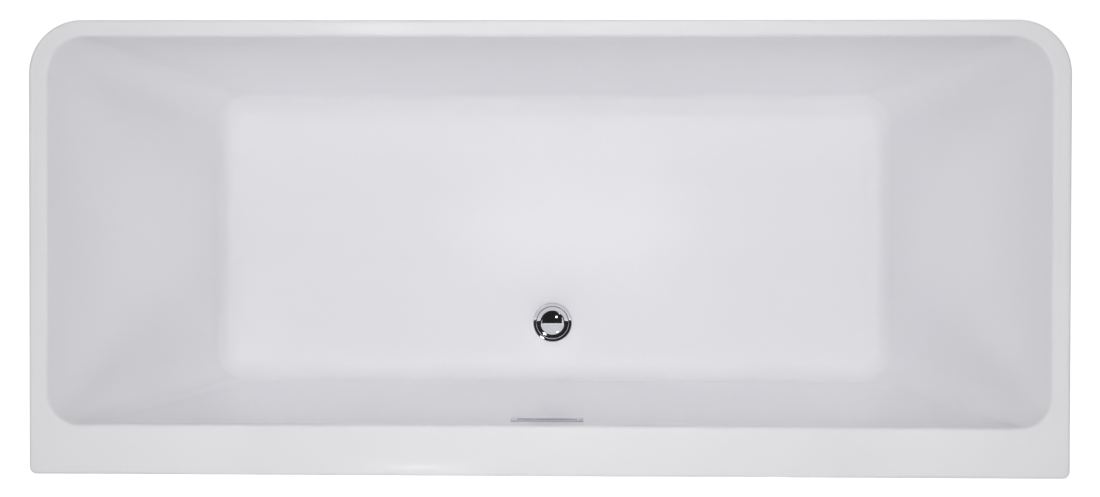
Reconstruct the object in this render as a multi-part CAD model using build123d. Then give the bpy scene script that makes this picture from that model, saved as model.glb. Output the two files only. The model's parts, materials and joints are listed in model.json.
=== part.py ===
from build123d import *
import os
from math import atan2, cos, degrees, pi, radians, sin, sqrt, tan

# Back-to-wall freestanding acrylic bathtub. Millimetres, +Z up, long axis along X, room side
# at -Y, wall side at +Y. The origin is on the floor, under the middle of the tub.

# Overall size
LENGTH = 1700.0
WIDTH = 745.0
HEIGHT = 580.0

# Rim, seen from above: a narrow border on three sides and a wide ledge along the wall
RIM_END = 30.0
RIM_FRONT = 28.0
RIM_LEDGE = 83.0
OUTER_FRONT_RADIUS = 88.0
OUTER_REAR_RADIUS = 12.0
RIM_OUTER_ROUND = 4.5
RIM_INNER_ROUND = 6.0
LIP_DROP = 25.0

# Basin: how deep it is, and how far each wall leans in on its way to the floor
BASIN_DEPTH = 430.0
END_LEAN = 210.0
FRONT_LEAN = 75.0
REAR_LEAN = 43.5
MOUTH_FRONT_RADIUS = 65.0
MOUTH_REAR_RADIUS = 50.0
FLOOR_CORNER_RADIUS = 60.0
FLOOR_ROUND = 40.0

# Sheet thicknesses
ACRYLIC = 5.0
FIBREGLASS = 3.0
BOARD = 12.0
WALL_CUT_REACH = 32.0

# Skirt
SKIRT_FOOT_GAP = 5.0
SKIRT_TAPER = 40.0
SKIRT_FOOT_FRONT_RADIUS = 70.0
SEAM = 1.0
SEAM_RECESS = 1.0
SPIGOT_GAP = 0.4
SPIGOT_WALL = 3.0
SPIGOT_RISE = 16.0
SPIGOT_ROOT = 13.0
SERVICE_WIDTH = 500.0
SERVICE_HEIGHT = 260.0
SERVICE_RADIUS = 10.0
SERVICE_CUT_REACH = 15.0

# Where the two big mouldings are divided into the sections they are stored as
FLOOR_SECTION_INSET = 45.0
SECTION_REACH = 10.0
SKIRT_SECTION_DEPTH = 120.0

# Steel frame
TUBE = 30.0
TUBE_WALL = 2.0
FRONT_RAIL_INSET = 80.0
REAR_RAIL_INSET = 34.0
RAIL_END_INSET = 50.0
END_MEMBER_FROM_RAIL_END = 80.0
MID_MEMBER_X = 170.0
POST = 25.0
POST_FROM_END = 420.0
POST_FROM_SKIRT = 15.0
CAP_FLANGE = 3.0
CAP_PLUG = 15.0
BOARD_EDGE = 50.0
BOARD_SIDE_INSET = 45.0
BOARD_CORNER = 30.0
BOARD_HOLE_CLEARANCE = 2.0
BATTEN_HEIGHT = 18.0
BATTEN_GAP_FROM_BASIN = 12.0
BATTEN_GAP_FROM_SKIRT = 9.0
BATTEN_END_INSET = 100.0
BATTEN_CENTRE_GAP = 200.0

# Brackets between the frame and the skirt
BRACKET_WIDTH = 40.0
BRACKET_PLATE = 3.0
BRACKET_WEB = 17.0
BRACKET_TAB = 60.0
FRONT_BRACKET_X = 300.0
BRACKET_BOLT_RADIUS = 4.0
BRACKET_BOLT_SPACING = 24.0
BRACKET_BOLT_HEAD = 5.0
BRACKET_BOLT_FLATS = 13.0
BRACKET_BOLT_GRIP = 11.0

# Board screws
BOARD_SCREW_RADIUS = 2.5
BOARD_SCREW_HEAD_RADIUS = 5.0
BOARD_SCREW_HEAD = 3.0
BOARD_SCREW_BITE = 8.0
BOARD_SCREW_SPACING = 260.0

# Levelling feet
STUD_RADIUS = 6.0
THREAD_CLEARANCE = 0.05
STUD_HOLE_CLEARANCE = 0.5
NUT_FLATS = 19.0
NUT_HEIGHT = 10.0
STUD_INTO_TUBE = 20.0
COLLAR_FLATS = 14.0
COLLAR_HEIGHT = 8.0
PAD_RADIUS = 25.0
PAD_HEIGHT = 8.0
PAD_BOSS_RADIUS = 12.0
PAD_BOSS_HEIGHT = 8.0
PAD_SOCKET_FLOOR = 4.0
FOOT_FROM_RAIL_END = 40.0

# Waste
DRAIN_FROM_FLOOR_REAR = 102.0
RECESS_CLEARANCE = 2.0
RECESS_DEPTH = 3.0
TAIL_RADIUS = 23.9
TAIL_BORE_RADIUS = 20.0
TAIL_HOLE_CLEARANCE = 2.1
BODY_THREAD_CLEARANCE = 0.1
FLANGE_RADIUS = 36.0
FLANGE_WEB = 1.4
FLANGE_EDGE = 4.4
FLANGE_CREST = 4.8
FLANGE_LIP = 6.2
FLANGE_BULGE = 0.03
FLANGE_SEAL = 1.2
FLANGE_SEAL_INSET = 1.0
FLANGE_SEAL_WIDTH = 8.0
TAIL_LENGTH = 44.0
SPIDER_DROP = 24.0
SPIDER_HEIGHT = 6.0
SPIDER_BAR = 4.0
SPIDER_HUB_RADIUS = 11.0
BODY_SEAL = 3.0
BODY_SEAL_WIDTH = 12.0
BODY_FLANGE_MARGIN = 2.0
BODY_FLANGE = 4.0
BODY_WALL = 4.0
BODY_LENGTH = 82.0
TAIL_SOCKET = 33.0
OUTLET_RADIUS = 23.9
OUTLET_LENGTH = 26.0
BRANCH_DROP = 64.0

# Click-clack plug
CAP_GAP = 0.6
CAP_BAND = 7.2
CAP_EDGE = 2.1
CAP_RISE = 2.7
CAP_BULGE = 0.03
CAP_DISH = 1.8
CAP_BOSS_RADIUS = 7.0
CAP_BOSS_LENGTH = 11.0
CAP_SEAL = 1.2
CAP_SEAL_LIFT = 0.2
CAP_SEAL_INSET = 2.2
CAP_SEAL_WIDTH = 5.0
STEM_RADIUS = 4.0
STEM_STOP_DROP = 1.0
STEM_CLEARANCE = 0.05
STEM_FOOT_RADIUS = 6.2
STEM_FOOT_HEIGHT = 3.0
CARTRIDGE_RADIUS = 8.0
CARTRIDGE_LENGTH = 38.0
CARTRIDGE_NECK = 5.0
CARTRIDGE_BASE = 2.0
CARTRIDGE_RISE = 12.0
CHAMBER_CLEARANCE = 0.15
SPRING_WIRE = 0.5
SPRING_COIL_RADIUS = 4.8
SPRING_TURNS = 4.0
SPRING_HEIGHT = 8.0

# Overflow
OVERFLOW_DROP = 42.0
TRIM_LENGTH = 120.0
TRIM_HEIGHT = 22.0
TRIM_THICKNESS = 2.5
TRIM_ROUND = 1.0
COLLAR_FROM_TRIM_END = 8.0
COLLAR_BAND = 14.0
COLLAR_WALL = 2.5
COLLAR_GAP = 1.0
GASKET = 2.0
ELBOW_MARGIN = 4.0
ELBOW_HEIGHT = 34.0
ELBOW_DEPTH = 30.0
ELBOW_WALL = 3.0
OVERFLOW_SCREW_RADIUS = 1.8
OVERFLOW_SCREW_HEAD_RADIUS = 2.9
OVERFLOW_SCREW_HEAD = 1.2
OVERFLOW_SCREW_BITE = 2.5
OVERFLOW_SCREW_FROM_END = 4.0
SPIGOT_RADIUS = 11.5
SPIGOT_BORE_RADIUS = 9.5
SPIGOT_COLLAR_RADIUS = 14.0
SPIGOT_COLLAR = 3.0
SPIGOT_LENGTH = 22.0
SPIGOT_NECK = 14.0

# Overflow hose and its clips
HOSE_RADIUS = 13.5
HOSE_BORE_CLEARANCE = 0.2
HOSE_FIRST_RUN = 115.0
HOSE_LAST_RUN = 58.0
HOSE_MIDDLE_ROUTE = [(0, 325.0, 260.0), (0, 334.0, 166.0), (0, 304.0, 105.0)]
HOSE_BEND_SHARE = 0.45
CLIP_WIDTH = 9.0
CLIP_BAND = 1.2
CLIP_CLEARANCE = 0.1
CLIP_HOUSING = 10.0
CLIP_SCREW_RADIUS = 3.0
CLIP_FROM_END = 5.0

# Levels and places that follow from the sizes above
FLOOR_Z = HEIGHT - BASIN_DEPTH
RIM_UNDERSIDE_Z = HEIGHT - ACRYLIC
LIP_Z = HEIGHT - LIP_DROP
BOARD_TOP_Z = FLOOR_Z - ACRYLIC - FIBREGLASS
FRAME_TOP_Z = BOARD_TOP_Z - BOARD
FRAME_Z = FRAME_TOP_Z - TUBE
MOUTH_X = LENGTH / 2 - RIM_END
MOUTH_FRONT_Y = -WIDTH / 2 + RIM_FRONT
MOUTH_REAR_Y = WIDTH / 2 - RIM_LEDGE
FLOOR_X = MOUTH_X - END_LEAN
FLOOR_FRONT_Y = MOUTH_FRONT_Y + FRONT_LEAN
FLOOR_REAR_Y = MOUTH_REAR_Y - REAR_LEAN
DRAIN_Y = FLOOR_REAR_Y - DRAIN_FROM_FLOOR_REAR
RAIL_X = FLOOR_X - RAIL_END_INSET
FRONT_RAIL_Y = FLOOR_FRONT_Y + FRONT_RAIL_INSET
REAR_RAIL_Y = FLOOR_REAR_Y - REAR_RAIL_INSET
END_MEMBER_X = RAIL_X - END_MEMBER_FROM_RAIL_END
POST_X = LENGTH / 2 - POST_FROM_END
POST_BACK_Y = WIDTH / 2 - ACRYLIC - POST_FROM_SKIRT
FEET = {
    "front_left": (-RAIL_X + FOOT_FROM_RAIL_END, FRONT_RAIL_Y),
    "front_middle": (0.0, FRONT_RAIL_Y),
    "front_right": (RAIL_X - FOOT_FROM_RAIL_END, FRONT_RAIL_Y),
    "rear_left": (-RAIL_X + FOOT_FROM_RAIL_END, REAR_RAIL_Y),
    "rear_right": (RAIL_X - FOOT_FROM_RAIL_END, REAR_RAIL_Y),
}
RECESS_Z = FLOOR_Z - RECESS_DEPTH
RECESS_RADIUS = FLANGE_RADIUS + RECESS_CLEARANCE
TAIL_HOLE_RADIUS = TAIL_RADIUS + TAIL_HOLE_CLEARANCE
DRAIN_UNDERSIDE_Z = RECESS_Z - ACRYLIC - FIBREGLASS
FLANGE_Z = RECESS_Z + FLANGE_SEAL
SEAT_Z = FLANGE_Z + FLANGE_WEB
CAP_RADIUS = FLANGE_RADIUS - FLANGE_LIP - CAP_GAP
CAP_Z = SEAT_Z + CAP_SEAL_LIFT + CAP_SEAL
CAP_SEAL_RADIUS = CAP_RADIUS - CAP_SEAL_INSET
STEM_TOP_Z = CAP_Z - STEM_STOP_DROP
CARTRIDGE_TOP_Z = SEAT_Z - SPIDER_DROP + CARTRIDGE_RISE
CHAMBER_Z = CARTRIDGE_TOP_Z - CARTRIDGE_LENGTH + CARTRIDGE_BASE
BODY_TOP_Z = DRAIN_UNDERSIDE_Z - BODY_SEAL
BODY_RADIUS = TAIL_RADIUS + BODY_THREAD_CLEARANCE + BODY_WALL
BODY_FLANGE_RADIUS = TAIL_HOLE_RADIUS + BODY_SEAL_WIDTH + BODY_FLANGE_MARGIN
OUTLET_SHOULDER_Z = BODY_TOP_Z - BODY_LENGTH
BRANCH_Z = BODY_TOP_Z - BRANCH_DROP
REAR_WALL_ANGLE = degrees(atan2(REAR_LEAN, BASIN_DEPTH))
WALL_BACK = (ACRYLIC + FIBREGLASS) * cos(radians(REAR_WALL_ANGLE))
COLLAR_LENGTH = TRIM_LENGTH - 2 * COLLAR_FROM_TRIM_END
COLLAR_DEPTH = WALL_BACK + GASKET + ELBOW_WALL
ELBOW_LENGTH = TRIM_LENGTH + 2 * ELBOW_MARGIN
ELBOW_Y = WALL_BACK + GASKET
ELBOW_SPIGOT_Y = ELBOW_Y + ELBOW_DEPTH / 2
ELBOW_COLLAR_Z = -ELBOW_HEIGHT / 2 - SPIGOT_NECK
OVERFLOW_PLACE = Location(
    (0, MOUTH_REAR_Y - REAR_LEAN * OVERFLOW_DROP / BASIN_DEPTH, HEIGHT - OVERFLOW_DROP),
    (-REAR_WALL_ANGLE, 0, 0),
)


def block(low, high):
    """A box between two corners."""
    size = [high[i] - low[i] for i in range(3)]
    middle = [(high[i] + low[i]) / 2 for i in range(3)]
    return Pos(*middle) * Box(*size)


def rod(x, y, low_z, high_z, radius):
    return Pos(x, y, (low_z + high_z) / 2) * Cylinder(radius, high_z - low_z)


def ring(x, y, low_z, high_z, outer, inner):
    return rod(x, y, low_z, high_z, outer) - rod(x, y, low_z, high_z, inner)


def hexagon(x, y, low_z, high_z, flats):
    face = RegularPolygon(flats / 2, 6, major_radius=False)
    return Pos(x, y, low_z) * extrude(face, high_z - low_z)


def square_tube(low, high, axis):
    """A hollow square tube that runs along one axis, open at both ends."""
    inner_low = [v + TUBE_WALL for v in low]
    inner_high = [v - TUBE_WALL for v in high]
    inner_low[axis] = low[axis]
    inner_high[axis] = high[axis]
    return block(low, high) - block(inner_low, inner_high)


def outline(half_length, front, rear, front_radius, rear_radius, z):
    """A rectangle in plan with its own radius on the front and on the rear corners."""
    corners = [(-half_length, front), (half_length, front), (half_length, rear), (-half_length, rear)]
    radii = [front_radius, front_radius, rear_radius, rear_radius]
    return Pos(0, 0, z) * make_face(FilletPolyline(*corners, radius=radii, close=True))


def rim_prism(inset, low_z, high_z):
    """An upright prism on the rim's outline, moved in by a distance."""
    face = outline(LENGTH / 2 - inset, -WIDTH / 2 + inset, WIDTH / 2 - inset,
                   OUTER_FRONT_RADIUS - inset, OUTER_REAR_RADIUS - inset, low_z)
    return extrude(face, high_z - low_z)


def skirt_volume(inset):
    """The tapered outside of the skirt, moved in by a distance; its rear face is upright."""
    top_z = LIP_Z - SEAM
    top = outline(LENGTH / 2 - inset, -WIDTH / 2 + inset, WIDTH / 2 - inset,
                  OUTER_FRONT_RADIUS - inset, OUTER_REAR_RADIUS - inset, top_z)
    foot = outline(LENGTH / 2 - SKIRT_TAPER - inset, -WIDTH / 2 + SKIRT_TAPER + inset,
                   WIDTH / 2 - inset, SKIRT_FOOT_FRONT_RADIUS - inset,
                   OUTER_REAR_RADIUS - inset, SKIRT_FOOT_GAP)
    return loft([foot, top], ruled=True)


def basin_volume(offset):
    """The inside of the basin, grown outwards and downwards by a distance."""
    reach = (BASIN_DEPTH + offset) / BASIN_DEPTH
    floor_z = FLOOR_Z - offset
    mouth = outline(MOUTH_X + offset, MOUTH_FRONT_Y - offset, MOUTH_REAR_Y + offset,
                    MOUTH_FRONT_RADIUS + offset, MOUTH_REAR_RADIUS + offset, HEIGHT)
    floor = outline(MOUTH_X - END_LEAN * reach + offset, MOUTH_FRONT_Y + FRONT_LEAN * reach - offset,
                    MOUTH_REAR_Y - REAR_LEAN * reach + offset, FLOOR_CORNER_RADIUS + offset,
                    FLOOR_CORNER_RADIUS + offset, floor_z)
    sharp = loft([floor, mouth], ruled=True)
    floor_edges = sharp.edges().filter_by_position(Axis.Z, floor_z, floor_z, inclusive=(True, True))
    return fillet(floor_edges, FLOOR_ROUND + offset)


def drain_well(offset):
    """The shallow round well that the waste flange sits in, grown by a distance."""
    return rod(0, DRAIN_Y, RECESS_Z - offset, FLOOR_Z + 1, RECESS_RADIUS + offset)


def on_rear_wall(shape):
    """Place a shape that is drawn upright, with its Y = 0 on the basin's rear wall."""
    return OVERFLOW_PLACE * shape


def overflow_screw_places():
    reach = TRIM_LENGTH / 2 - OVERFLOW_SCREW_FROM_END
    return [-reach, reach]


def level_rod(x, low_y, high_y, radius):
    """A rod that lies along Y at the height of the overflow's middle."""
    return Pos(x, (low_y + high_y) / 2, 0) * Rot(90, 0, 0) * Cylinder(radius, high_y - low_y)


def wall_cutter():
    """What is cut through the basin wall for the overflow: its slot and two screw holes."""
    length = COLLAR_LENGTH / 2 + COLLAR_GAP
    band = COLLAR_BAND / 2 + COLLAR_GAP
    cutter = block((-length, -WALL_CUT_REACH, -band), (length, WALL_CUT_REACH, band))
    for x in overflow_screw_places():
        cutter += level_rod(x, -WALL_CUT_REACH, WALL_CUT_REACH, OVERFLOW_SCREW_RADIUS)
    return on_rear_wall(cutter)


def at_height(shape, z):
    """The shape's edges that lie flat at one height."""
    return shape.edges().filter_by_position(Axis.Z, z, z, inclusive=(True, True)).filter_by(
        lambda edge: edge.bounding_box().size.Z < 0.001)


def make_basin_shell():
    plate = rim_prism(0, RIM_UNDERSIDE_Z, HEIGHT)
    lip = rim_prism(0, LIP_Z, HEIGHT) - rim_prism(ACRYLIC, LIP_Z, HEIGHT)
    bowl = basin_volume(ACRYLIC) + drain_well(ACRYLIC)
    shell = plate + lip + bowl - basin_volume(0)
    outer_edges = at_height(shell, HEIGHT).filter_by(
        lambda edge: not inside_mouth(edge.center(), RIM_FRONT / 2))
    shell = fillet(outer_edges, RIM_OUTER_ROUND)
    shell -= drain_well(0)
    shell -= rod(0, DRAIN_Y, DRAIN_UNDERSIDE_Z, FLOOR_Z, TAIL_HOLE_RADIUS)
    shell -= wall_cutter()
    inner_edges = at_height(shell, HEIGHT).filter_by(
        lambda edge: inside_mouth(edge.center(), RIM_FRONT / 2))
    return fillet(inner_edges, RIM_INNER_ROUND)


def upright_prism(corners):
    """A prism over the tub's full height on a plan outline."""
    return extrude(make_face(Polyline(*corners, close=True)), HEIGHT)


def make_shell_sections():
    """The one-piece shell, divided along its corner creases and round the flat of its floor."""
    shell = make_basin_shell()
    outer_x = LENGTH / 2 + SECTION_REACH
    outer_y = WIDTH / 2 + SECTION_REACH
    front_right = [(outer_x, -outer_y), (MOUTH_X, MOUTH_FRONT_Y), (FLOOR_X, FLOOR_FRONT_Y),
                   (FLOOR_X - FLOOR_SECTION_INSET, FLOOR_FRONT_Y + FLOOR_SECTION_INSET)]
    rear_right = [(outer_x, outer_y), (MOUTH_X, MOUTH_REAR_Y), (FLOOR_X, FLOOR_REAR_Y),
                  (FLOOR_X - FLOOR_SECTION_INSET, FLOOR_REAR_Y - FLOOR_SECTION_INSET)]
    front_left = [(-x, y) for x, y in front_right]
    rear_left = [(-x, y) for x, y in rear_right]
    floor = [front_right[-1], rear_right[-1], rear_left[-1], front_left[-1]]
    return {
        "shell_floor": shell & upright_prism(floor),
        "shell_front_wall": shell & upright_prism(front_right + front_left[::-1]),
        "shell_rear_wall": shell & upright_prism(rear_right + rear_left[::-1]),
        "shell_left_end": shell & upright_prism(front_left + rear_left[::-1]),
        "shell_right_end": shell & upright_prism(front_right + rear_right[::-1]),
    }


def make_skirt_sections():
    """The one-piece skirt, divided at its front corners and at the service opening's sides."""
    skirt = make_outer_skirt()
    outer_x = LENGTH / 2 + SECTION_REACH
    outer_y = WIDTH / 2 + SECTION_REACH
    depth = SKIRT_SECTION_DEPTH
    rear_x = SERVICE_WIDTH / 2
    front_right = [(outer_x, -outer_y), (outer_x - depth, depth - outer_y)]
    front_left = [(-x, y) for x, y in front_right]
    rear_right = [(rear_x, outer_y), (rear_x, 0)]
    rear_left = [(-x, y) for x, y in rear_right]
    right_end = front_right + [(front_right[1][0], 0)] + rear_right[::-1] + [(outer_x, outer_y)]
    return {
        "skirt_front": skirt & upright_prism(front_right + front_left[::-1]),
        "skirt_rear": skirt & upright_prism(rear_right + rear_left[::-1]),
        "skirt_left_end": skirt & upright_prism([(-x, y) for x, y in right_end]),
        "skirt_right_end": skirt & upright_prism(right_end),
    }


def inside_mouth(point, margin):
    across = MOUTH_FRONT_Y - margin < point.Y < MOUTH_REAR_Y + margin
    return across and abs(point.X) < MOUTH_X + margin


def make_fibreglass_backing():
    grown = ACRYLIC + FIBREGLASS
    backing = basin_volume(grown) + drain_well(grown) - basin_volume(ACRYLIC) - drain_well(ACRYLIC)
    backing -= block((-LENGTH, -WIDTH, RIM_UNDERSIDE_Z), (LENGTH, WIDTH, 2 * HEIGHT))
    backing -= rod(0, DRAIN_Y, DRAIN_UNDERSIDE_Z, FLOOR_Z, TAIL_HOLE_RADIUS)
    return backing - wall_cutter()


def make_base_board():
    face = outline(FLOOR_X - BOARD_EDGE, FLOOR_FRONT_Y + BOARD_SIDE_INSET,
                   FLOOR_REAR_Y - BOARD_SIDE_INSET, BOARD_CORNER, BOARD_CORNER, FRAME_TOP_Z)
    board = extrude(face, BOARD)
    hole = RECESS_RADIUS + ACRYLIC + FIBREGLASS + BOARD_HOLE_CLEARANCE
    board -= rod(0, DRAIN_Y, FRAME_TOP_Z, BOARD_TOP_Z, hole)
    for x, y in board_screw_places():
        board -= rod(x, y, FRAME_TOP_Z, FRAME_TOP_Z + BOARD_SCREW_BITE, BOARD_SCREW_RADIUS)
    return board


def make_outer_skirt():
    skirt = skirt_volume(0) - skirt_volume(ACRYLIC)
    seam_z = LIP_Z - SEAM
    spigot = rim_prism(ACRYLIC - SEAM_RECESS, seam_z - SPIGOT_ROOT, seam_z)
    spigot += rim_prism(ACRYLIC + SPIGOT_GAP, seam_z, seam_z + SPIGOT_RISE)
    skirt += spigot - rim_prism(ACRYLIC + SPIGOT_GAP + SPIGOT_WALL, 0, HEIGHT)
    return skirt - service_cutter()


def service_cutter():
    """The plumbing opening at the bottom of the skirt's rear face."""
    top = SKIRT_FOOT_GAP + SERVICE_HEIGHT
    face = make_face(FilletPolyline(
        (-SERVICE_WIDTH / 2, -top), (SERVICE_WIDTH / 2, -top), (SERVICE_WIDTH / 2, top),
        (-SERVICE_WIDTH / 2, top), radius=SERVICE_RADIUS, close=True))
    cutter = extrude(Rot(90, 0, 0) * face, SERVICE_CUT_REACH, both=True)
    return Pos(0, WIDTH / 2, 0) * cutter


def make_seam_sealant():
    outer = rim_prism(SEAM_RECESS, LIP_Z - SEAM, LIP_Z)
    return outer - rim_prism(ACRYLIC - SEAM_RECESS, LIP_Z - SEAM, LIP_Z)


def make_rim_batten(side):
    low_y = MOUTH_REAR_Y + ACRYLIC + FIBREGLASS + BATTEN_GAP_FROM_BASIN
    high_y = WIDTH / 2 - ACRYLIC - BATTEN_GAP_FROM_SKIRT
    low_x, high_x = sorted([side * BATTEN_CENTRE_GAP / 2, side * (LENGTH / 2 - BATTEN_END_INSET)])
    return block((low_x, low_y, RIM_UNDERSIDE_Z - BATTEN_HEIGHT), (high_x, high_y, RIM_UNDERSIDE_Z))


def make_rail(y):
    rail = square_tube((-RAIL_X, y - TUBE / 2, FRAME_Z), (RAIL_X, y + TUBE / 2, FRAME_TOP_Z), 0)
    for foot_x, foot_y in FEET.values():
        rail -= rod(foot_x, foot_y, FRAME_Z, FRAME_Z + TUBE_WALL, STUD_RADIUS + STUD_HOLE_CLEARANCE)
    for x, bolt_y in bracket_bolt_places():
        rail -= rod(x, bolt_y, FRAME_Z, FRAME_Z + TUBE_WALL, BRACKET_BOLT_RADIUS)
    return rail


def make_cross_member(x):
    member = square_tube((x - TUBE / 2, FRONT_RAIL_Y + TUBE / 2, FRAME_Z),
                         (x + TUBE / 2, REAR_RAIL_Y - TUBE / 2, FRAME_TOP_Z), 1)
    for screw_x, y in board_screw_places():
        member -= rod(screw_x, y, FRAME_Z, FRAME_TOP_Z, BOARD_SCREW_RADIUS)
    for bolt_x, y in bracket_bolt_places():
        member -= rod(bolt_x, y, FRAME_Z, FRAME_Z + TUBE_WALL, BRACKET_BOLT_RADIUS)
    return member


def make_rear_arm(side):
    """A short arm welded behind the rear rail, which carries a post."""
    low = (side * POST_X - POST / 2, REAR_RAIL_Y + TUBE / 2, FRAME_TOP_Z - POST)
    return square_tube(low, (low[0] + POST, POST_BACK_Y, FRAME_TOP_Z), 1)


def make_rear_post(side):
    """The upright that carries the wide ledge."""
    low = (side * POST_X - POST / 2, POST_BACK_Y - POST, FRAME_TOP_Z)
    return square_tube(low, (low[0] + POST, POST_BACK_Y, RIM_UNDERSIDE_Z - BATTEN_HEIGHT), 2)


def make_tube_end_caps():
    caps = []
    for y in (FRONT_RAIL_Y, REAR_RAIL_Y):
        for side in (-1, 1):
            low_x, high_x = sorted([side * RAIL_X, side * (RAIL_X + CAP_FLANGE)])
            flange = block((low_x, y - TUBE / 2, FRAME_Z), (high_x, y + TUBE / 2, FRAME_TOP_Z))
            low_x, high_x = sorted([side * RAIL_X, side * (RAIL_X - CAP_PLUG)])
            half = TUBE / 2 - TUBE_WALL
            plug = block((low_x, y - half, FRAME_Z + TUBE_WALL), (high_x, y + half, FRAME_TOP_Z - TUBE_WALL))
            caps.append(flange + plug)
    return Compound(caps)


def board_screw_places():
    middle_y = (FRONT_RAIL_Y + REAR_RAIL_Y) / 2
    return [(x, middle_y + side * BOARD_SCREW_SPACING / 2)
            for x in (-END_MEMBER_X, -MID_MEMBER_X, MID_MEMBER_X, END_MEMBER_X) for side in (-1, 1)]


def make_board_screws():
    screws = []
    for x, y in board_screw_places():
        shank = rod(x, y, FRAME_Z, FRAME_TOP_Z + BOARD_SCREW_BITE, BOARD_SCREW_RADIUS)
        screws.append(shank + rod(x, y, FRAME_Z - BOARD_SCREW_HEAD, FRAME_Z, BOARD_SCREW_HEAD_RADIUS))
    return Compound(screws)


# Each bracket: the middle of the tube it hangs from, and the way it reaches out.
BRACKETS = {
    "front_left": ((-FRONT_BRACKET_X, FRONT_RAIL_Y), (0, -1)),
    "front_right": ((FRONT_BRACKET_X, FRONT_RAIL_Y), (0, -1)),
    "left_end": ((-END_MEMBER_X, 0.0), (-1, 0)),
    "right_end": ((END_MEMBER_X, 0.0), (1, 0)),
}


def bracket_bolt_places():
    places = []
    for (x, y), (out_x, out_y) in BRACKETS.values():
        for side in (-1, 1):
            shift = side * BRACKET_BOLT_SPACING / 2
            places.append((x + shift * abs(out_y), y + shift * abs(out_x)))
    return places


def make_skirt_bracket(name):
    """A stiffened strip under a frame tube whose end tab lies on the skirt's inside."""
    (x, y), (out_x, out_y) = BRACKETS[name]
    turn = degrees(atan2(out_y, out_x))
    half = BRACKET_WIDTH / 2
    plate = block((-TUBE / 2, -half, -BRACKET_PLATE), (LENGTH, half, 0))
    plate += block((TUBE / 2, -BRACKET_PLATE / 2, -BRACKET_WEB - BRACKET_PLATE),
                   (LENGTH, BRACKET_PLATE / 2, -BRACKET_PLATE))
    reach = block((TUBE / 2, -half, -BRACKET_TAB / 2), (LENGTH, half, BRACKET_TAB / 2))
    place = Location((x, y, FRAME_Z), (0, 0, turn))
    cavity = skirt_volume(ACRYLIC)
    tab = (place * reach) & (cavity - skirt_volume(ACRYLIC + BRACKET_PLATE))
    bracket = (place * plate & cavity) + tab
    for bolt_x, bolt_y in bracket_bolt_places():
        bracket -= rod(bolt_x, bolt_y, FRAME_Z - BRACKET_PLATE, FRAME_Z, BRACKET_BOLT_RADIUS)
    return bracket


def make_bracket_bolts():
    bolts = []
    head_z = FRAME_Z - BRACKET_PLATE
    for x, y in bracket_bolt_places():
        shank = rod(x, y, head_z, head_z + BRACKET_BOLT_GRIP, BRACKET_BOLT_RADIUS)
        bolts.append(shank + hexagon(x, y, head_z - BRACKET_BOLT_HEAD, head_z, BRACKET_BOLT_FLATS))
    return Compound(bolts)


def make_foot_nuts(top_z):
    nuts = []
    for x, y in FEET.values():
        nut = hexagon(x, y, top_z - NUT_HEIGHT, top_z, NUT_FLATS)
        nuts.append(nut - rod(x, y, top_z - NUT_HEIGHT, top_z, STUD_RADIUS + THREAD_CLEARANCE))
    return Compound(nuts)


def make_foot_stud(x, y):
    top_z = FRAME_Z + TUBE_WALL + STUD_INTO_TUBE
    boss_z = PAD_HEIGHT + PAD_BOSS_HEIGHT
    stud = rod(x, y, PAD_SOCKET_FLOOR, top_z, STUD_RADIUS)
    return stud + hexagon(x, y, boss_z, boss_z + COLLAR_HEIGHT, COLLAR_FLATS)


def make_foot_pad(x, y):
    boss_z = PAD_HEIGHT + PAD_BOSS_HEIGHT
    profile = make_face(Polyline(
        (0, 0), (PAD_RADIUS, 0), (PAD_RADIUS, PAD_HEIGHT / 2), (PAD_BOSS_RADIUS, PAD_HEIGHT),
        (PAD_BOSS_RADIUS, boss_z), (0, boss_z), close=True))
    pad = Pos(x, y, 0) * revolve(Rot(90, 0, 0) * profile, Axis.Z)
    return pad - rod(x, y, PAD_SOCKET_FLOOR, boss_z, STUD_RADIUS)


def turned(lines):
    """A solid of revolution about the drain's axis from lines drawn as (radius, height)."""
    return Pos(0, DRAIN_Y, 0) * revolve(Rot(90, 0, 0) * make_face(lines), Axis.Z)


def make_waste_flange():
    tail_z = FLANGE_Z - TAIL_LENGTH
    edge_z = FLANGE_Z + FLANGE_EDGE
    lip = FLANGE_RADIUS - FLANGE_LIP
    crest_z = FLANGE_Z + FLANGE_CREST
    middle_z = (edge_z + crest_z) / 2 + FLANGE_BULGE
    crown = ThreePointArc((FLANGE_RADIUS, edge_z), (FLANGE_RADIUS - FLANGE_LIP / 2, middle_z),
                          (lip, crest_z))
    body = Polyline((lip, crest_z), (lip, SEAT_Z), (TAIL_BORE_RADIUS, SEAT_Z),
                    (TAIL_BORE_RADIUS, tail_z), (TAIL_RADIUS, tail_z), (TAIL_RADIUS, FLANGE_Z),
                    (FLANGE_RADIUS, FLANGE_Z), (FLANGE_RADIUS, edge_z))
    flange = turned([crown, body])
    low_z = SEAT_Z - SPIDER_DROP
    high_z = low_z + SPIDER_HEIGHT
    reach = (TAIL_BORE_RADIUS + TAIL_RADIUS) / 2
    spider = rod(0, DRAIN_Y, low_z, high_z, SPIDER_HUB_RADIUS)
    spider += block((-reach, DRAIN_Y - SPIDER_BAR / 2, low_z), (reach, DRAIN_Y + SPIDER_BAR / 2, high_z))
    spider += block((-SPIDER_BAR / 2, DRAIN_Y - reach, low_z), (SPIDER_BAR / 2, DRAIN_Y + reach, high_z))
    return flange + spider - rod(0, DRAIN_Y, low_z, high_z, CARTRIDGE_RADIUS)


def make_waste_flange_seal():
    outer = FLANGE_RADIUS - FLANGE_SEAL_INSET
    return ring(0, DRAIN_Y, RECESS_Z, FLANGE_Z, outer, outer - FLANGE_SEAL_WIDTH)


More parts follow.
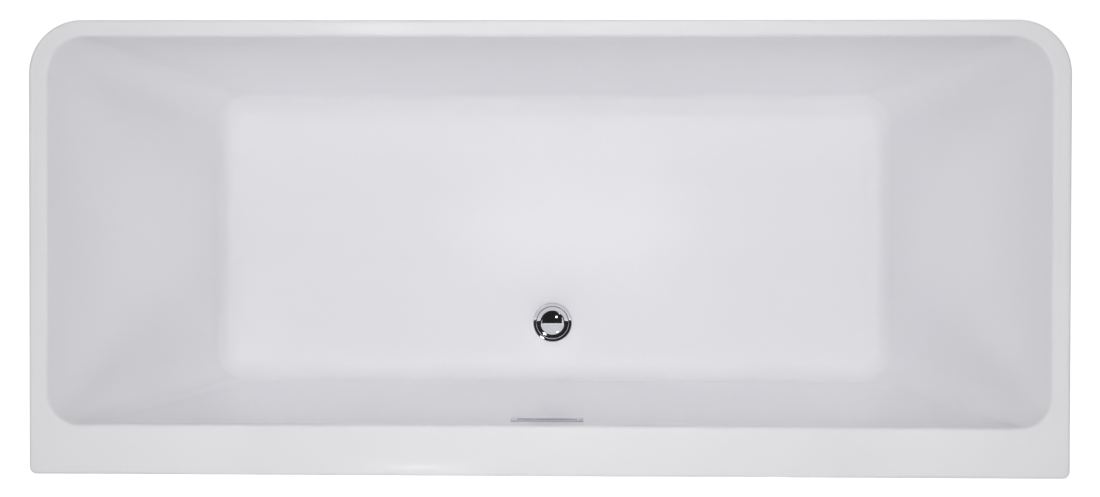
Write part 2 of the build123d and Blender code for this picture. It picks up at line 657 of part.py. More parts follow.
def make_waste_body_seal():
    outer = TAIL_HOLE_RADIUS + BODY_SEAL_WIDTH
    return ring(0, DRAIN_Y, BODY_TOP_Z, DRAIN_UNDERSIDE_Z, outer, TAIL_HOLE_RADIUS)


def make_waste_body():
    """The tee below the floor: the tail screws into its top, the hose joins its branch."""
    y = DRAIN_Y
    outlet_z = OUTLET_SHOULDER_Z - OUTLET_LENGTH
    body = rod(0, y, OUTLET_SHOULDER_Z, BODY_TOP_Z, BODY_RADIUS)
    body += rod(0, y, BODY_TOP_Z - BODY_FLANGE, BODY_TOP_Z, BODY_FLANGE_RADIUS)
    body += rod(0, y, outlet_z, OUTLET_SHOULDER_Z, OUTLET_RADIUS)
    collar_y = DRAIN_Y + BODY_RADIUS + SPIGOT_NECK
    branch = level_rod(0, y, collar_y + SPIGOT_LENGTH, SPIGOT_RADIUS)
    branch += level_rod(0, collar_y - SPIGOT_COLLAR, collar_y, SPIGOT_COLLAR_RADIUS)
    body += Pos(0, 0, BRANCH_Z) * branch
    body -= rod(0, y, outlet_z, BODY_TOP_Z, TAIL_BORE_RADIUS)
    body -= rod(0, y, BODY_TOP_Z - TAIL_SOCKET, BODY_TOP_Z, TAIL_RADIUS + BODY_THREAD_CLEARANCE)
    return body - Pos(0, 0, BRANCH_Z) * level_rod(0, y, collar_y + SPIGOT_LENGTH, SPIGOT_BORE_RADIUS)


def make_plug_cap():
    """The chrome cap: a band that falls gently outwards round a shallow spherical dish."""
    dish = CAP_RADIUS - CAP_BAND
    rim_z = CAP_Z + CAP_RISE
    edge_z = CAP_Z + CAP_EDGE
    sphere = (dish * dish + CAP_DISH * CAP_DISH) / (2 * CAP_DISH)
    half = dish / 2
    dish_arc = ThreePointArc((0, rim_z - CAP_DISH),
                             (half, rim_z - CAP_DISH + sphere - sqrt(sphere * sphere - half * half)),
                             (dish, rim_z))
    band_arc = ThreePointArc((dish, rim_z), (CAP_RADIUS - CAP_BAND / 2, (rim_z + edge_z) / 2 + CAP_BULGE),
                             (CAP_RADIUS, edge_z))
    boss_z = CAP_Z - CAP_BOSS_LENGTH
    rest = Polyline((CAP_RADIUS, edge_z), (CAP_RADIUS, CAP_Z), (CAP_BOSS_RADIUS, CAP_Z),
                    (CAP_BOSS_RADIUS, boss_z), (STEM_RADIUS, boss_z), (STEM_RADIUS, STEM_TOP_Z),
                    (0, STEM_TOP_Z), (0, rim_z - CAP_DISH))
    return turned([dish_arc, band_arc, rest])


def make_plug_seal():
    return ring(0, DRAIN_Y, SEAT_Z + CAP_SEAL_LIFT, CAP_Z, CAP_SEAL_RADIUS, CAP_SEAL_RADIUS - CAP_SEAL_WIDTH)


def make_plug_stem():
    foot_z = CHAMBER_Z + SPRING_HEIGHT
    stem = rod(0, DRAIN_Y, foot_z, STEM_TOP_Z, STEM_RADIUS)
    return stem + rod(0, DRAIN_Y, foot_z, foot_z + STEM_FOOT_HEIGHT, STEM_FOOT_RADIUS)


def make_plug_cartridge():
    base_z = CHAMBER_Z - CARTRIDGE_BASE
    cartridge = rod(0, DRAIN_Y, base_z, CARTRIDGE_TOP_Z, CARTRIDGE_RADIUS)
    neck_z = CARTRIDGE_TOP_Z - CARTRIDGE_NECK
    cartridge -= rod(0, DRAIN_Y, CHAMBER_Z, neck_z, STEM_FOOT_RADIUS + CHAMBER_CLEARANCE)
    return cartridge - rod(0, DRAIN_Y, neck_z, CARTRIDGE_TOP_Z, STEM_RADIUS + STEM_CLEARANCE)


def make_plug_spring():
    rise = SPRING_HEIGHT - 2 * SPRING_WIRE
    helix = Helix(rise / SPRING_TURNS, rise, SPRING_COIL_RADIUS)
    start = Plane(origin=helix @ 0, z_dir=helix % 0)
    coil = sweep(start * Circle(SPRING_WIRE), path=helix, is_frenet=True)
    return Pos(0, DRAIN_Y, CHAMBER_Z + SPRING_WIRE) * coil


def make_overflow_trim():
    """A slim chrome plate with a long slot, and a collar that goes through the wall."""
    length = TRIM_LENGTH / 2
    height = TRIM_HEIGHT / 2
    plate = block((-length, -TRIM_THICKNESS, -height), (length, 0, height))
    front = plate.edges().filter_by_position(Axis.Y, -TRIM_THICKNESS, -TRIM_THICKNESS)
    plate = fillet(front, TRIM_ROUND)
    collar = block((-COLLAR_LENGTH / 2, 0, -COLLAR_BAND / 2), (COLLAR_LENGTH / 2, COLLAR_DEPTH, COLLAR_BAND / 2))
    slot_x = COLLAR_LENGTH / 2 - COLLAR_WALL
    slot_z = COLLAR_BAND / 2 - COLLAR_WALL
    trim = plate + collar - block((-slot_x, -TRIM_THICKNESS, -slot_z), (slot_x, COLLAR_DEPTH, slot_z))
    for x in overflow_screw_places():
        trim -= level_rod(x, -TRIM_THICKNESS, 0, OVERFLOW_SCREW_RADIUS)
        head_y = -TRIM_THICKNESS + OVERFLOW_SCREW_HEAD
        trim -= level_rod(x, -TRIM_THICKNESS, head_y, OVERFLOW_SCREW_HEAD_RADIUS)
    return on_rear_wall(trim)


def make_overflow_gasket():
    length = ELBOW_LENGTH / 2
    height = ELBOW_HEIGHT / 2
    mouth_x = COLLAR_LENGTH / 2 + COLLAR_GAP
    mouth_z = COLLAR_BAND / 2 + COLLAR_GAP
    gasket = block((-length, WALL_BACK, -height), (length, WALL_BACK + GASKET, height))
    gasket -= block((-mouth_x, WALL_BACK, -mouth_z), (mouth_x, WALL_BACK + GASKET, mouth_z))
    for x in overflow_screw_places():
        gasket -= level_rod(x, WALL_BACK, WALL_BACK + GASKET, OVERFLOW_SCREW_RADIUS)
    return on_rear_wall(gasket)


def make_overflow_elbow():
    """The box behind the wall that gathers the overflow and turns it down into the hose."""
    length = ELBOW_LENGTH / 2
    height = ELBOW_HEIGHT / 2
    wall = ELBOW_WALL
    back_y = ELBOW_Y + ELBOW_DEPTH
    mouth_x = COLLAR_LENGTH / 2 + COLLAR_GAP
    mouth_z = COLLAR_BAND / 2 + COLLAR_GAP
    elbow = block((-length, ELBOW_Y, -height), (length, back_y, height))
    elbow -= block((wall - length, ELBOW_Y + wall, wall - height), (length - wall, back_y - wall, height - wall))
    elbow -= block((-mouth_x, ELBOW_Y, -mouth_z), (mouth_x, ELBOW_Y + wall, mouth_z))
    tip_z = ELBOW_COLLAR_Z - SPIGOT_LENGTH
    elbow += rod(0, ELBOW_SPIGOT_Y, tip_z, -height, SPIGOT_RADIUS)
    elbow += rod(0, ELBOW_SPIGOT_Y, ELBOW_COLLAR_Z, ELBOW_COLLAR_Z + SPIGOT_COLLAR, SPIGOT_COLLAR_RADIUS)
    elbow -= rod(0, ELBOW_SPIGOT_Y, tip_z, wall - height, SPIGOT_BORE_RADIUS)
    for x in overflow_screw_places():
        elbow -= level_rod(x, ELBOW_Y, ELBOW_Y + OVERFLOW_SCREW_BITE, OVERFLOW_SCREW_RADIUS)
    return on_rear_wall(elbow)


def make_overflow_screws():
    screws = []
    for x in overflow_screw_places():
        head_y = -TRIM_THICKNESS + OVERFLOW_SCREW_HEAD
        shank = level_rod(x, head_y, ELBOW_Y + OVERFLOW_SCREW_BITE, OVERFLOW_SCREW_RADIUS)
        head = level_rod(x, -TRIM_THICKNESS, head_y, OVERFLOW_SCREW_HEAD_RADIUS)
        screws.append(on_rear_wall(shank + head))
    return Compound(screws)


def hose_route():
    """The hose's corners, from the collar on the elbow to the collar on the waste's branch."""
    start = (OVERFLOW_PLACE * Location((0, ELBOW_SPIGOT_Y, ELBOW_COLLAR_Z))).position
    below = (OVERFLOW_PLACE * Location((0, ELBOW_SPIGOT_Y, ELBOW_COLLAR_Z - HOSE_FIRST_RUN))).position
    end = Vector(0, DRAIN_Y + BODY_RADIUS + SPIGOT_NECK, BRANCH_Z)
    behind = end + Vector(0, HOSE_LAST_RUN, 0)
    return [start, below] + [Vector(*point) for point in HOSE_MIDDLE_ROUTE] + [behind, end]


def hose_radii(route):
    radii = []
    for before, corner, after in zip(route, route[1:], route[2:]):
        turn = (corner - before).get_angle(after - corner)
        shorter = min((corner - before).length, (after - corner).length)
        radii.append(HOSE_BEND_SHARE * shorter / tan(radians(turn / 2)))
    return radii


def make_overflow_hose():
    route = hose_route()
    radii = hose_radii(route)
    path = FilletPolyline(*route, radius=radii)
    start = Plane(origin=path @ 0, z_dir=path % 0)
    bore = SPIGOT_RADIUS + HOSE_BORE_CLEARANCE
    hose = sweep(start * (Circle(HOSE_RADIUS) - Circle(bore)), path=path)
    section = pi * (HOSE_RADIUS ** 2 - bore ** 2)
    print("hose corners", [tuple(round(v, 1) for v in point) for point in route])
    print("hose length", round(path.length, 1), "bend radii", [round(r) for r in radii])
    print("hose volume", round(hose.volume), "section times length", round(section * path.length))
    return hose


def hose_clip():
    """A worm-drive clip about the Z axis, its middle at the origin."""
    inner = HOSE_RADIUS + CLIP_CLEARANCE
    outer = inner + CLIP_BAND
    half = CLIP_WIDTH / 2
    band = rod(0, 0, -half, half, outer)
    housing = block((-CLIP_HOUSING / 2, 0, -half), (CLIP_HOUSING / 2, outer + 2 * CLIP_SCREW_RADIUS, half))
    screw = Pos(0, outer + CLIP_SCREW_RADIUS, 0) * Rot(0, 90, 0) * Cylinder(
        CLIP_SCREW_RADIUS, 2 * CLIP_HOUSING)
    return band + housing + screw - rod(0, 0, -half, half, inner)


def make_upper_hose_clip():
    middle = ELBOW_COLLAR_Z - CLIP_FROM_END - CLIP_WIDTH / 2
    return on_rear_wall(Pos(0, ELBOW_SPIGOT_Y, middle) * hose_clip())


def make_lower_hose_clip():
    middle = DRAIN_Y + BODY_RADIUS + SPIGOT_NECK + CLIP_FROM_END + CLIP_WIDTH / 2
    return Pos(0, middle, BRANCH_Z) * Rot(90, 0, 0) * hose_clip()


def build_parts():
    parts = {
        "fibreglass_backing": make_fibreglass_backing(),
        "base_board": make_base_board(),
        "seam_sealant": make_seam_sealant(),
        "rim_batten_left": make_rim_batten(-1),
        "rim_batten_right": make_rim_batten(1),
        "frame_rail_front": make_rail(FRONT_RAIL_Y),
        "frame_rail_rear": make_rail(REAR_RAIL_Y),
        "cross_member_left_end": make_cross_member(-END_MEMBER_X),
        "cross_member_left": make_cross_member(-MID_MEMBER_X),
        "cross_member_right": make_cross_member(MID_MEMBER_X),
        "cross_member_right_end": make_cross_member(END_MEMBER_X),
        "rear_arm_left": make_rear_arm(-1),
        "rear_arm_right": make_rear_arm(1),
        "rear_post_left": make_rear_post(-1),
        "rear_post_right": make_rear_post(1),
        "tube_end_caps": make_tube_end_caps(),
        "board_screws": make_board_screws(),
        "bracket_bolts": make_bracket_bolts(),
        "foot_weld_nuts": make_foot_nuts(FRAME_Z),
        "foot_lock_nuts": make_foot_nuts(FRAME_Z - NUT_HEIGHT),
        "waste_flange": make_waste_flange(),
        "waste_flange_seal": make_waste_flange_seal(),
        "waste_body_seal": make_waste_body_seal(),
        "waste_body": make_waste_body(),
        "plug_cap": make_plug_cap(),
        "plug_seal": make_plug_seal(),
        "plug_stem": make_plug_stem(),
        "plug_cartridge": make_plug_cartridge(),
        "plug_spring": make_plug_spring(),
        "overflow_trim": make_overflow_trim(),
        "overflow_gasket": make_overflow_gasket(),
        "overflow_elbow": make_overflow_elbow(),
        "overflow_screws": make_overflow_screws(),
        "overflow_hose": make_overflow_hose(),
        "hose_clip_upper": make_upper_hose_clip(),
        "hose_clip_lower": make_lower_hose_clip(),
    }
    parts.update(make_shell_sections())
    parts.update(make_skirt_sections())
    for name in BRACKETS:
        parts["skirt_bracket_" + name] = make_skirt_bracket(name)
    for name, (x, y) in FEET.items():
        parts["foot_stud_" + name] = make_foot_stud(x, y)
        parts["foot_pad_" + name] = make_foot_pad(x, y)
    return parts


os.makedirs("parts", exist_ok=True)
for node, shape in build_parts().items():
    export_step(shape, "parts/" + node + ".step")
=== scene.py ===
"""The looks of a back-to-wall freestanding bathtub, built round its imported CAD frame.

Metres, +Z up, long axis along X, room side at -Y, wall side at +Y.
"""
import json
from math import atan2, ceil, cos, degrees, hypot, pi, radians, sin, sqrt, tan

import bmesh
import bpy
from mathutils import Matrix, Vector


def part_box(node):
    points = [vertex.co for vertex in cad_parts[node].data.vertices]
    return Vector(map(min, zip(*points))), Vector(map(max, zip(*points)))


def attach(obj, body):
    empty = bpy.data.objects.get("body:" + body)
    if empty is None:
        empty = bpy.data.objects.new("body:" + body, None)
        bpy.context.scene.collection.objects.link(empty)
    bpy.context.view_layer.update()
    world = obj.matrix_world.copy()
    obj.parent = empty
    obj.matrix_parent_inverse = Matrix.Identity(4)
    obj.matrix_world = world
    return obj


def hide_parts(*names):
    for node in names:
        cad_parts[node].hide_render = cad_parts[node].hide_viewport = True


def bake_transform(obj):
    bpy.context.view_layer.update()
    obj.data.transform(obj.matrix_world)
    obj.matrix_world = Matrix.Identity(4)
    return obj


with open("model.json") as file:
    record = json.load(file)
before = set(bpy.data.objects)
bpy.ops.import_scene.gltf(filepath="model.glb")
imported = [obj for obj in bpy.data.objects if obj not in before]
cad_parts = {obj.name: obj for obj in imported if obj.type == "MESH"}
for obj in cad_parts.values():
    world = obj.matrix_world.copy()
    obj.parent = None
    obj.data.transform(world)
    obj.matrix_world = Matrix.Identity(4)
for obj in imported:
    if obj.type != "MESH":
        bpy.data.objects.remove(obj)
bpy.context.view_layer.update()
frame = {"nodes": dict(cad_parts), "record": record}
NODES = frame["nodes"]
MM = 0.001

# ---------------------------------------------------------------- sizes

_, SHELL_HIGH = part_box("shell_rear_wall")
SKIRT_LOW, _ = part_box("skirt_front")
FLANGE_LOW, FLANGE_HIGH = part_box("waste_flange")
CAP_LOW, CAP_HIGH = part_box("plug_cap")

HEIGHT = SHELL_HIGH.z
HALF_LENGTH = SHELL_HIGH.x
HALF_WIDTH = SHELL_HIGH.y
RIM_END = 30 * MM
RIM_FRONT = 28 * MM
RIM_LEDGE = 83 * MM
OUTER_FRONT_RADIUS = 88 * MM
OUTER_REAR_RADIUS = 12 * MM
RIM_OUTER_ROUND = 4.5 * MM
RIM_INNER_ROUND = 6 * MM
LIP_DROP = 25 * MM
SHEET = 4.5 * MM

BASIN_DEPTH = 430 * MM
END_LEAN = 210 * MM
FRONT_LEAN = 75 * MM
REAR_LEAN = 43.5 * MM
MOUTH_FRONT_RADIUS = 65 * MM
MOUTH_REAR_RADIUS = 50 * MM
FLOOR_CORNER_RADIUS = 52 * MM
FLOOR_ROUND = 40 * MM
FLOOR_FALL = 4 * MM
FALL_REACH = 0.62
FALL_FADE = 0.16

FLOOR_Z = HEIGHT - BASIN_DEPTH
MOUTH_X = HALF_LENGTH - RIM_END
MOUTH_FRONT_Y = -HALF_WIDTH + RIM_FRONT
MOUTH_REAR_Y = HALF_WIDTH - RIM_LEDGE
LIP_Z = HEIGHT - LIP_DROP

DRAIN = Vector(((FLANGE_LOW.x + FLANGE_HIGH.x) / 2, (FLANGE_LOW.y + FLANGE_HIGH.y) / 2, FLOOR_Z))
DRAIN_AXIS = Vector((DRAIN.x, DRAIN.y, 0))
FLANGE_RADIUS = (FLANGE_HIGH.x - FLANGE_LOW.x) / 2
CAP_RADIUS = (CAP_HIGH.x - CAP_LOW.x) / 2
WELL_DEPTH = 3 * MM
WELL_Z = FLOOR_Z - WELL_DEPTH
HOLE_RADIUS = 26 * MM

# ---------------------------------------------------------------- mesh helpers

SHARP_DEGREES = 35


def add_mesh(name, points, faces, material, sharp_degrees=SHARP_DEGREES):
    """A mesh object with smooth shading that stays sharp where faces turn by more than an angle."""
    mesh = bpy.data.meshes.new(name)
    mesh.from_pydata([tuple(point) for point in points], [], faces)
    mesh.validate()
    piece = bpy.data.objects.new(name, mesh)
    bpy.context.scene.collection.objects.link(piece)
    tidy_normals(mesh)
    mesh.shade_smooth()
    mesh.set_sharp_from_angle(angle=radians(sharp_degrees))
    mesh.materials.append(material)
    return piece


def tidy_normals(mesh):
    work = bmesh.new()
    work.from_mesh(mesh)
    bmesh.ops.remove_doubles(work, verts=work.verts, dist=1e-7)
    bmesh.ops.recalc_face_normals(work, faces=work.faces)
    work.to_mesh(mesh)
    work.free()


def skin(loops, closed=True):
    """Points and quads of a surface through rings of equal length; closed joins the last to the first."""
    count = len(loops[0])
    points = [point for ring in loops for point in ring]
    faces = []
    rows = len(loops) if closed else len(loops) - 1
    for row in range(rows):
        a = row * count
        b = ((row + 1) % len(loops)) * count
        for i in range(count):
            j = (i + 1) % count
            faces.append((a + i, a + j, b + j, b + i))
    return points, faces


def capped(loops):
    """The skin through the rings, with a face over the first and the last."""
    points, faces = skin(loops, closed=False)
    count = len(loops[0])
    faces += [tuple(range(count)), tuple(reversed(range(len(points) - count, len(points))))]
    return points, faces


def cut(piece, cutter):
    """Take the cutter's volume out of the piece, and remove the cutter."""
    modifier = piece.modifiers.new("cut", "BOOLEAN")
    modifier.operation = "DIFFERENCE"
    modifier.solver = "EXACT"
    modifier.object = cutter
    bpy.context.view_layer.update()
    depsgraph = bpy.context.evaluated_depsgraph_get()
    result = bpy.data.meshes.new_from_object(piece.evaluated_get(depsgraph))
    piece.modifiers.clear()
    piece.data = result
    bpy.data.objects.remove(cutter)


def join(name, pieces):
    """One object from several, which share their materials in order of use."""
    work = bmesh.new()
    materials = []
    for piece in pieces:
        start = len(work.faces)
        piece.data.transform(piece.matrix_world)
        work.from_mesh(piece.data)
        work.faces.ensure_lookup_table()
        material = piece.data.materials[0]
        if material not in materials:
            materials.append(material)
        for face in work.faces[start:]:
            face.material_index = materials.index(material)
    mesh = bpy.data.meshes.new(name)
    work.to_mesh(mesh)
    work.free()
    for material in materials:
        mesh.materials.append(material)
    for piece in pieces:
        bpy.data.objects.remove(piece)
    whole = bpy.data.objects.new(name, mesh)
    bpy.context.scene.collection.objects.link(whole)
    return whole


CORNER_STEPS = 16
LONG_STEPS = 56
SHORT_STEPS = 28


def plan_ring(ends, front, rear, front_radius, rear_radius):
    """A rounded rectangle in plan. Each side is (place, height), and height turns evenly in the corners."""
    half, end_z = ends
    front_y, front_z = front
    rear_y, rear_z = rear
    corners = [
        (-half + front_radius, front_y + front_radius, front_radius, 180, end_z, front_z),
        (half - front_radius, front_y + front_radius, front_radius, 270, front_z, end_z),
        (half - rear_radius, rear_y - rear_radius, rear_radius, 0, end_z, rear_z),
        (-half + rear_radius, rear_y - rear_radius, rear_radius, 90, rear_z, end_z),
    ]
    ring = []
    for index, (x, y, radius, start, from_z, to_z) in enumerate(corners):
        for step in range(CORNER_STEPS + 1):
            share = step / CORNER_STEPS
            angle = radians(start + 90 * share)
            z = from_z + (to_z - from_z) * share
            ring.append(Vector((x + radius * cos(angle), y + radius * sin(angle), z)))
        here = ring[-1]
        x, y, radius, start, from_z, to_z = corners[(index + 1) % 4]
        there = Vector((x + radius * cos(radians(start)), y + radius * sin(radians(start)), from_z))
        steps = LONG_STEPS if index in (0, 2) else SHORT_STEPS
        ring += [here.lerp(there, step / steps) for step in range(1, steps)]
    return ring


def circle_like(ring, centre, radius, z):
    """A circle whose points lie in the same directions from the centre as the ring's."""
    points = []
    for point in ring:
        angle = atan2(point.y - centre.y, point.x - centre.x)
        points.append(Vector((centre.x + radius * cos(angle), centre.y + radius * sin(angle), z)))
    return points


def blend_rings(first, last, shares):
    return [[a.lerp(b, share) for a, b in zip(first, last)] for share in shares]


def arc(start_degrees, end_degrees, steps):
    return [radians(start_degrees + (end_degrees - start_degrees) * i / steps) for i in range(steps + 1)]


def turned_ring(place, radius, z, segments):
    angles = [2 * pi * i / segments for i in range(segments)]
    return [place + Vector((radius * cos(angle), radius * sin(angle), z)) for angle in angles]


def lathe(name, profile, material, place, segments=160):
    """A solid of revolution about Z through a place, from a closed list of (radius, height)."""
    points, faces = skin([turned_ring(place, radius, z, segments) for radius, z in profile])
    return add_mesh(name, points, faces, material)


def add_bar(name, low, high, material, soft=0.5 * MM):
    """A bar between two corners with softened edges."""
    work = bmesh.new()
    bmesh.ops.create_cube(work, size=1)
    for vertex in work.verts:
        for i in range(3):
            vertex.co[i] = low[i] if vertex.co[i] < 0 else high[i]
    bmesh.ops.bevel(work, geom=work.edges[:], offset=soft, segments=2, affect="EDGES")
    mesh = bpy.data.meshes.new(name)
    work.to_mesh(mesh)
    work.free()
    mesh.shade_smooth()
    mesh.set_sharp_from_angle(angle=radians(SHARP_DEGREES))
    mesh.materials.append(material)
    piece = bpy.data.objects.new(name, mesh)
    bpy.context.scene.collection.objects.link(piece)
    return piece


# ---------------------------------------------------------------- material helpers


class Surface:
    """A Principled material whose detail is worked out from each point's place on the object."""

    def __init__(self, name, color, roughness, metallic=0.0):
        self.material = bpy.data.materials.new(name)
        self.material.use_nodes = True
        self.nodes = self.material.node_tree.nodes
        self.links = self.material.node_tree.links
        self.shader = self.nodes["Principled BSDF"]
        self.shader.inputs["Base Color"].default_value = (*color, 1)
        self.shader.inputs["Roughness"].default_value = roughness
        self.shader.inputs["Metallic"].default_value = metallic
        self.place = self.nodes.new("ShaderNodeTexCoord").outputs["Object"]

    def stretched(self, scale):
        mapping = self.nodes.new("ShaderNodeMapping")
        mapping.inputs["Scale"].default_value = scale
        self.links.new(self.place, mapping.inputs["Vector"])
        return mapping.outputs["Vector"]

    def noise(self, scale, detail=4.0, roughness=0.5, distortion=0.0, stretch=None):
        node = self.nodes.new("ShaderNodeTexNoise")
        node.inputs["Scale"].default_value = scale
        node.inputs["Detail"].default_value = detail
        node.inputs["Roughness"].default_value = roughness
        node.inputs["Distortion"].default_value = distortion
        self.links.new(self.stretched(stretch) if stretch else self.place, node.inputs["Vector"])
        return node.outputs["Fac"]

    def cells(self, scale, output="Color", stretch=None):
        node = self.nodes.new("ShaderNodeTexVoronoi")
        node.inputs["Scale"].default_value = scale
        self.links.new(self.stretched(stretch) if stretch else self.place, node.inputs["Vector"])
        return node.outputs[output]

    def wave(self, scale, distortion, detail_scale, direction="X", stretch=None):
        node = self.nodes.new("ShaderNodeTexWave")
        node.bands_direction = direction
        node.inputs["Scale"].default_value = scale
        node.inputs["Distortion"].default_value = distortion
        node.inputs["Detail"].default_value = 3.0
        node.inputs["Detail Scale"].default_value = detail_scale
        self.links.new(self.stretched(stretch) if stretch else self.place, node.inputs["Vector"])
        return node.outputs["Fac"]

    def spread(self, value, low, high, from_low=0.3, from_high=0.7):
        node = self.nodes.new("ShaderNodeMapRange")
        node.inputs["From Min"].default_value = from_low
        node.inputs["From Max"].default_value = from_high
        node.inputs["To Min"].default_value = low
        node.inputs["To Max"].default_value = high
        self.links.new(value, node.inputs["Value"])
        return node.outputs["Result"]

    def combine(self, operation, a, b):
        node = self.nodes.new("ShaderNodeMath")
        node.operation = operation
        for socket, value in zip(node.inputs, (a, b)):
            if isinstance(value, (int, float)):
                socket.default_value = value
            else:
                self.links.new(value, socket)
        return node.outputs["Value"]

    def color_between(self, share, first, second, low=0.3, high=0.7):
        node = self.nodes.new("ShaderNodeValToRGB")
        node.color_ramp.elements[0].position = low
        node.color_ramp.elements[0].color = (*first, 1)
        node.color_ramp.elements[1].position = high
        node.color_ramp.elements[1].color = (*second, 1)
        self.links.new(share, node.inputs["Fac"])
        self.links.new(node.outputs["Color"], self.shader.inputs["Base Color"])

    def roughness_from(self, value):
        self.links.new(value, self.shader.inputs["Roughness"])

    def bump(self, height, distance, strength=1.0):
        node = self.nodes.new("ShaderNodeBump")
        node.inputs["Distance"].default_value = distance
        node.inputs["Strength"].default_value = strength
        self.links.new(height, node.inputs["Height"])
        last = self.shader.inputs["Normal"].links
        if last:
            self.links.new(last[0].from_socket, node.inputs["Normal"])
        self.links.new(node.outputs["Normal"], self.shader.inputs["Normal"])


# ---------------------------------------------------------------- materials

ACRYLIC_WHITE = (0.93, 0.924, 0.95)
ACRYLIC_SHADE = (0.92, 0.914, 0.942)


def make_acrylic():
    """Moulded gloss acrylic: a faint ripple from the mould and a very slight cloudiness."""
    surface = Surface("gloss_acrylic", ACRYLIC_WHITE, 0.1)
    surface.color_between(surface.noise(2.5, 3.0), ACRYLIC_SHADE, ACRYLIC_WHITE)
    fine = surface.noise(55.0, 2.0)
    surface.roughness_from(surface.spread(fine, 0.07, 0.13))
    surface.bump(surface.noise(7.0, 1.0), 0.0006, 0.12)
    surface.bump(surface.noise(210.0, 2.0), 0.00005, 0.12)
    surface.shader.inputs["IOR"].default_value = 1.49
    return surface.material


def make_chrome():
    """Polished chrome plate with hairline wiping marks and a few water spots."""
    surface = Surface("polished_chrome", (0.69, 0.69, 0.75), 0.03, 1.0)
    surface.color_between(surface.noise(90.0, 3.0), (0.67, 0.67, 0.735), (0.71, 0.71, 0.765))
    smear = surface.noise(260.0, 4.0, 0.6, 0.4)
    surface.roughness_from(surface.spread(smear, 0.02, 0.07))
    surface.bump(surface.noise(900.0, 2.0), 0.00001, 0.15)
    return surface.material


def make_sealant():
    surface = Surface("white_sealant", (0.62, 0.62, 0.63), 0.45)
    surface.color_between(surface.noise(40.0), (0.58, 0.58, 0.58), (0.68, 0.68, 0.69))
    surface.bump(surface.noise(180.0), 0.0003, 0.4)
    return surface.material


def make_fibreglass():
    """Chopped strands under sprayed resin, yellowish and rough."""
    surface = Surface("sprayed_fibreglass", (0.6, 0.57, 0.44), 0.5)
    strands = surface.wave(90.0, 22.0, 3.0)
    cross = surface.wave(80.0, 26.0, 2.6, "Y")
    both = surface.combine("MULTIPLY", strands, cross)
    surface.color_between(both, (0.50, 0.47, 0.35), (0.72, 0.70, 0.60), 0.1, 0.8)
    surface.roughness_from(surface.spread(surface.noise(30.0), 0.35, 0.7))
    surface.bump(both, 0.0012, 0.6)
    surface.bump(surface.noise(45.0, 5.0), 0.002, 0.5)
    return surface.material


def make_chipboard():
    surface = Surface("resin_sealed_chipboard", (0.5, 0.36, 0.22), 0.6)
    chips = surface.cells(420.0, "Distance", stretch=(1, 1.7, 3))
    surface.color_between(chips, (0.33, 0.21, 0.11), (0.62, 0.47, 0.29), 0.05, 0.6)
    surface.roughness_from(surface.spread(surface.noise(60.0), 0.45, 0.75))
    surface.bump(chips, 0.0006, 0.5)
    return surface.material


def make_timber():
    surface = Surface("sawn_softwood", (0.62, 0.44, 0.26), 0.65)
    grain = surface.wave(26.0, 5.0, 1.2, "Y", stretch=(0.12, 1, 1))
    surface.color_between(grain, (0.44, 0.27, 0.13), (0.70, 0.52, 0.32), 0.1, 0.9)
    surface.roughness_from(surface.spread(surface.noise(70.0, stretch=(0.1, 1, 1)), 0.5, 0.8))
    surface.bump(surface.noise(160.0, 6.0, stretch=(0.06, 1, 1)), 0.0005, 0.6)
    return surface.material


def make_galvanised():
    """Hot-dip galvanised tube: crystal spangle in tone and in gloss."""
    surface = Surface("galvanised_steel", (0.55, 0.57, 0.6), 0.4, 0.9)
    spangle = surface.cells(120.0, "Color")
    surface.color_between(spangle, (0.42, 0.44, 0.47), (0.66, 0.68, 0.71), 0.2, 0.8)
    surface.roughness_from(surface.spread(spangle, 0.28, 0.5, 0.1, 0.9))
    surface.bump(surface.noise(220.0, 4.0), 0.0002, 0.3)
    return surface.material


def make_zinc():
    surface = Surface("zinc_plated_steel", (0.62, 0.61, 0.56), 0.3, 1.0)
    surface.color_between(surface.noise(120.0), (0.56, 0.54, 0.47), (0.68, 0.68, 0.66))
    surface.roughness_from(surface.spread(surface.noise(500.0), 0.2, 0.42))
    surface.bump(surface.noise(700.0, 4.0), 0.00006, 0.4)
    return surface.material


def make_black_plastic():
    surface = Surface("black_moulded_plastic", (0.03, 0.03, 0.033), 0.5)
    surface.color_between(surface.noise(60.0), (0.022, 0.022, 0.025), (0.042, 0.042, 0.046))
    surface.roughness_from(surface.spread(surface.noise(150.0), 0.42, 0.6))
    surface.bump(surface.noise(1400.0, 3.0), 0.00012, 0.5)
    return surface.material


def make_white_plastic():
    surface = Surface("white_waste_plastic", (0.72, 0.72, 0.7), 0.42)
    surface.color_between(surface.noise(25.0), (0.67, 0.67, 0.64), (0.75, 0.75, 0.735))
    surface.roughness_from(surface.spread(surface.noise(90.0), 0.35, 0.5))
    surface.bump(surface.noise(800.0, 3.0), 0.00008, 0.4)
    return surface.material


def make_hose_plastic():
    surface = Surface("grey_hose_plastic", (0.3, 0.31, 0.32), 0.45)
    surface.color_between(surface.noise(50.0), (0.25, 0.26, 0.27), (0.36, 0.37, 0.38))
    surface.roughness_from(surface.spread(surface.noise(120.0), 0.35, 0.55))
    surface.bump(surface.noise(900.0, 3.0), 0.0001, 0.4)
    return surface.material


def make_rubber():
    surface = Surface("black_seal_rubber", (0.025, 0.025, 0.026), 0.7)
    surface.color_between(surface.noise(80.0), (0.018, 0.018, 0.019), (0.04, 0.04, 0.041))
    surface.roughness_from(surface.spread(surface.noise(200.0), 0.6, 0.8))
    surface.bump(surface.noise(1500.0, 2.0), 0.00008, 0.5)
    return surface.material


